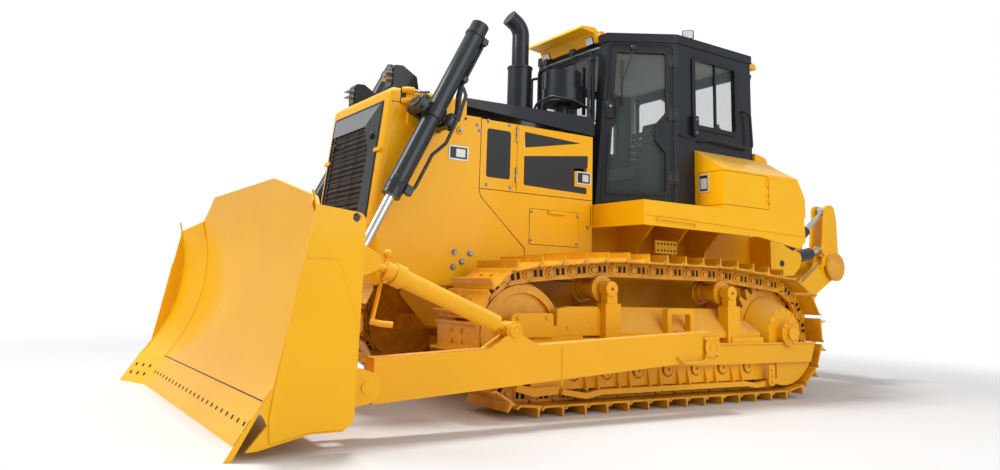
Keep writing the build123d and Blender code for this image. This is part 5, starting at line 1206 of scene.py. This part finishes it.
def setAt(name, data, place, right, up, back):
    # a lamp or camera in the scene, with its three axes
    holder = bpy.data.objects.new(name, data)
    holder.matrix_world = Matrix.Translation(place) @ Matrix((right, up, back)).transposed().to_4x4()
    bpy.context.scene.collection.objects.link(holder)
    return holder


def camera():
    forward = np.array(viewpoint["forward"]) / np.linalg.norm(viewpoint["forward"])
    right = np.array(viewpoint["right"]) - forward * (viewpoint["right"] @ forward)
    right /= np.linalg.norm(right)
    view = bpy.data.cameras.new("view")
    view.lens, view.sensor_width = viewpoint["length"], viewpoint["sensor"]
    view.shift_x, view.shift_y = viewpoint["shift"]
    view.clip_end = viewpoint["farthest"]
    bpy.context.scene.camera = setAt("view", view, viewpoint["place"], right, np.cross(right, forward),
                                     -forward)


def areaLamp(name, place, power, size):
    # a square lamp that looks at the aim
    light = bpy.data.lights.new(name, "AREA")
    light.energy, light.size, light.shape = power, size, "SQUARE"
    setAt(name, light, place, *basis(np.subtract(place, studio["aim"])))


def paleFloor():
    # painted concrete; the camera sees a tone whose lit part is just white, and plain white away from the
    # machine, so its shadow stays and no horizon shows, without more light on the object
    floor, seen = linear(studio["floor"]), (*[studio["seenFloor"]] * 3, 1.0)
    near, far = studio["clear"]
    material, tree, surface = finish("paleFloor", {"Roughness": 0.85, "Specular IOR Level": 0.2})
    rays = addNode(tree, "ShaderNodeLightPath")
    place = addNode(tree, "ShaderNodeTexCoord")
    away = addNode(tree, "ShaderNodeVectorMath", {"operation": "LENGTH"}, {0: (place, "Object")})
    fade = addNode(tree, "ShaderNodeMapRange", {"From Min": near, "From Max": far,
                                                "interpolation_type": "SMOOTHSTEP"},
                   {"Value": (away, "Value")})
    share = addNode(tree, "ShaderNodeMath", {"operation": "MULTIPLY"},
                    {0: (fade, 0), 1: (rays, "Is Camera Ray")})
    tone = addNode(tree, "ShaderNodeMix", {"data_type": "RGBA", 6: floor, 7: seen},
                   {"Factor": (rays, "Is Camera Ray")})
    link(tree, surface, {"Base Color": (tone, 2)})
    white = addNode(tree, "ShaderNodeEmission", {"Color": (1.0, 1.0, 1.0, 1.0), "Strength": 1.0})
    blend = addNode(tree, "ShaderNodeMixShader", links={0: (share, 0), 1: (surface, 0), 2: (white, 0)})
    link(tree, tree.nodes["Material Output"], {"Surface": (blend, 0)})
    return material


def setStudio():
    half = studio["floorHalf"]
    mesh = bpy.data.meshes.new("floor")
    mesh.from_pydata([(-half, -half, 0), (half, -half, 0), (half, half, 0), (-half, half, 0)], [],
                     [(0, 1, 2, 3)])
    floor = bpy.data.objects.new("floor", mesh)
    bpy.context.scene.collection.objects.link(floor)
    mesh.materials.append(paleFloor())
    for light in studio["lamps"]:
        areaLamp(*light)
    world = bpy.data.worlds.new("paleRoom")
    world.use_nodes = True
    tree = world.node_tree
    back = tree.nodes["Background"]
    back.inputs["Color"].default_value = (1.0, 1.0, 1.0, 1.0)
    rays = addNode(tree, "ShaderNodeLightPath")
    seen = addNode(tree, "ShaderNodeMath", {"operation": "MAXIMUM"},
                   {0: (rays, "Is Camera Ray"), 1: (rays, "Is Transmission Ray")})
    strength = addNode(tree, "ShaderNodeMapRange", {"To Min": studio["sky"], "To Max": 1.0},
                       {"Value": (seen, 0)})
    link(tree, back, {"Strength": (strength, 0)})
    bpy.context.scene.world = world
    bpy.context.scene.view_settings.view_transform = "Standard"


camera()
setStudio()
print("studio set")
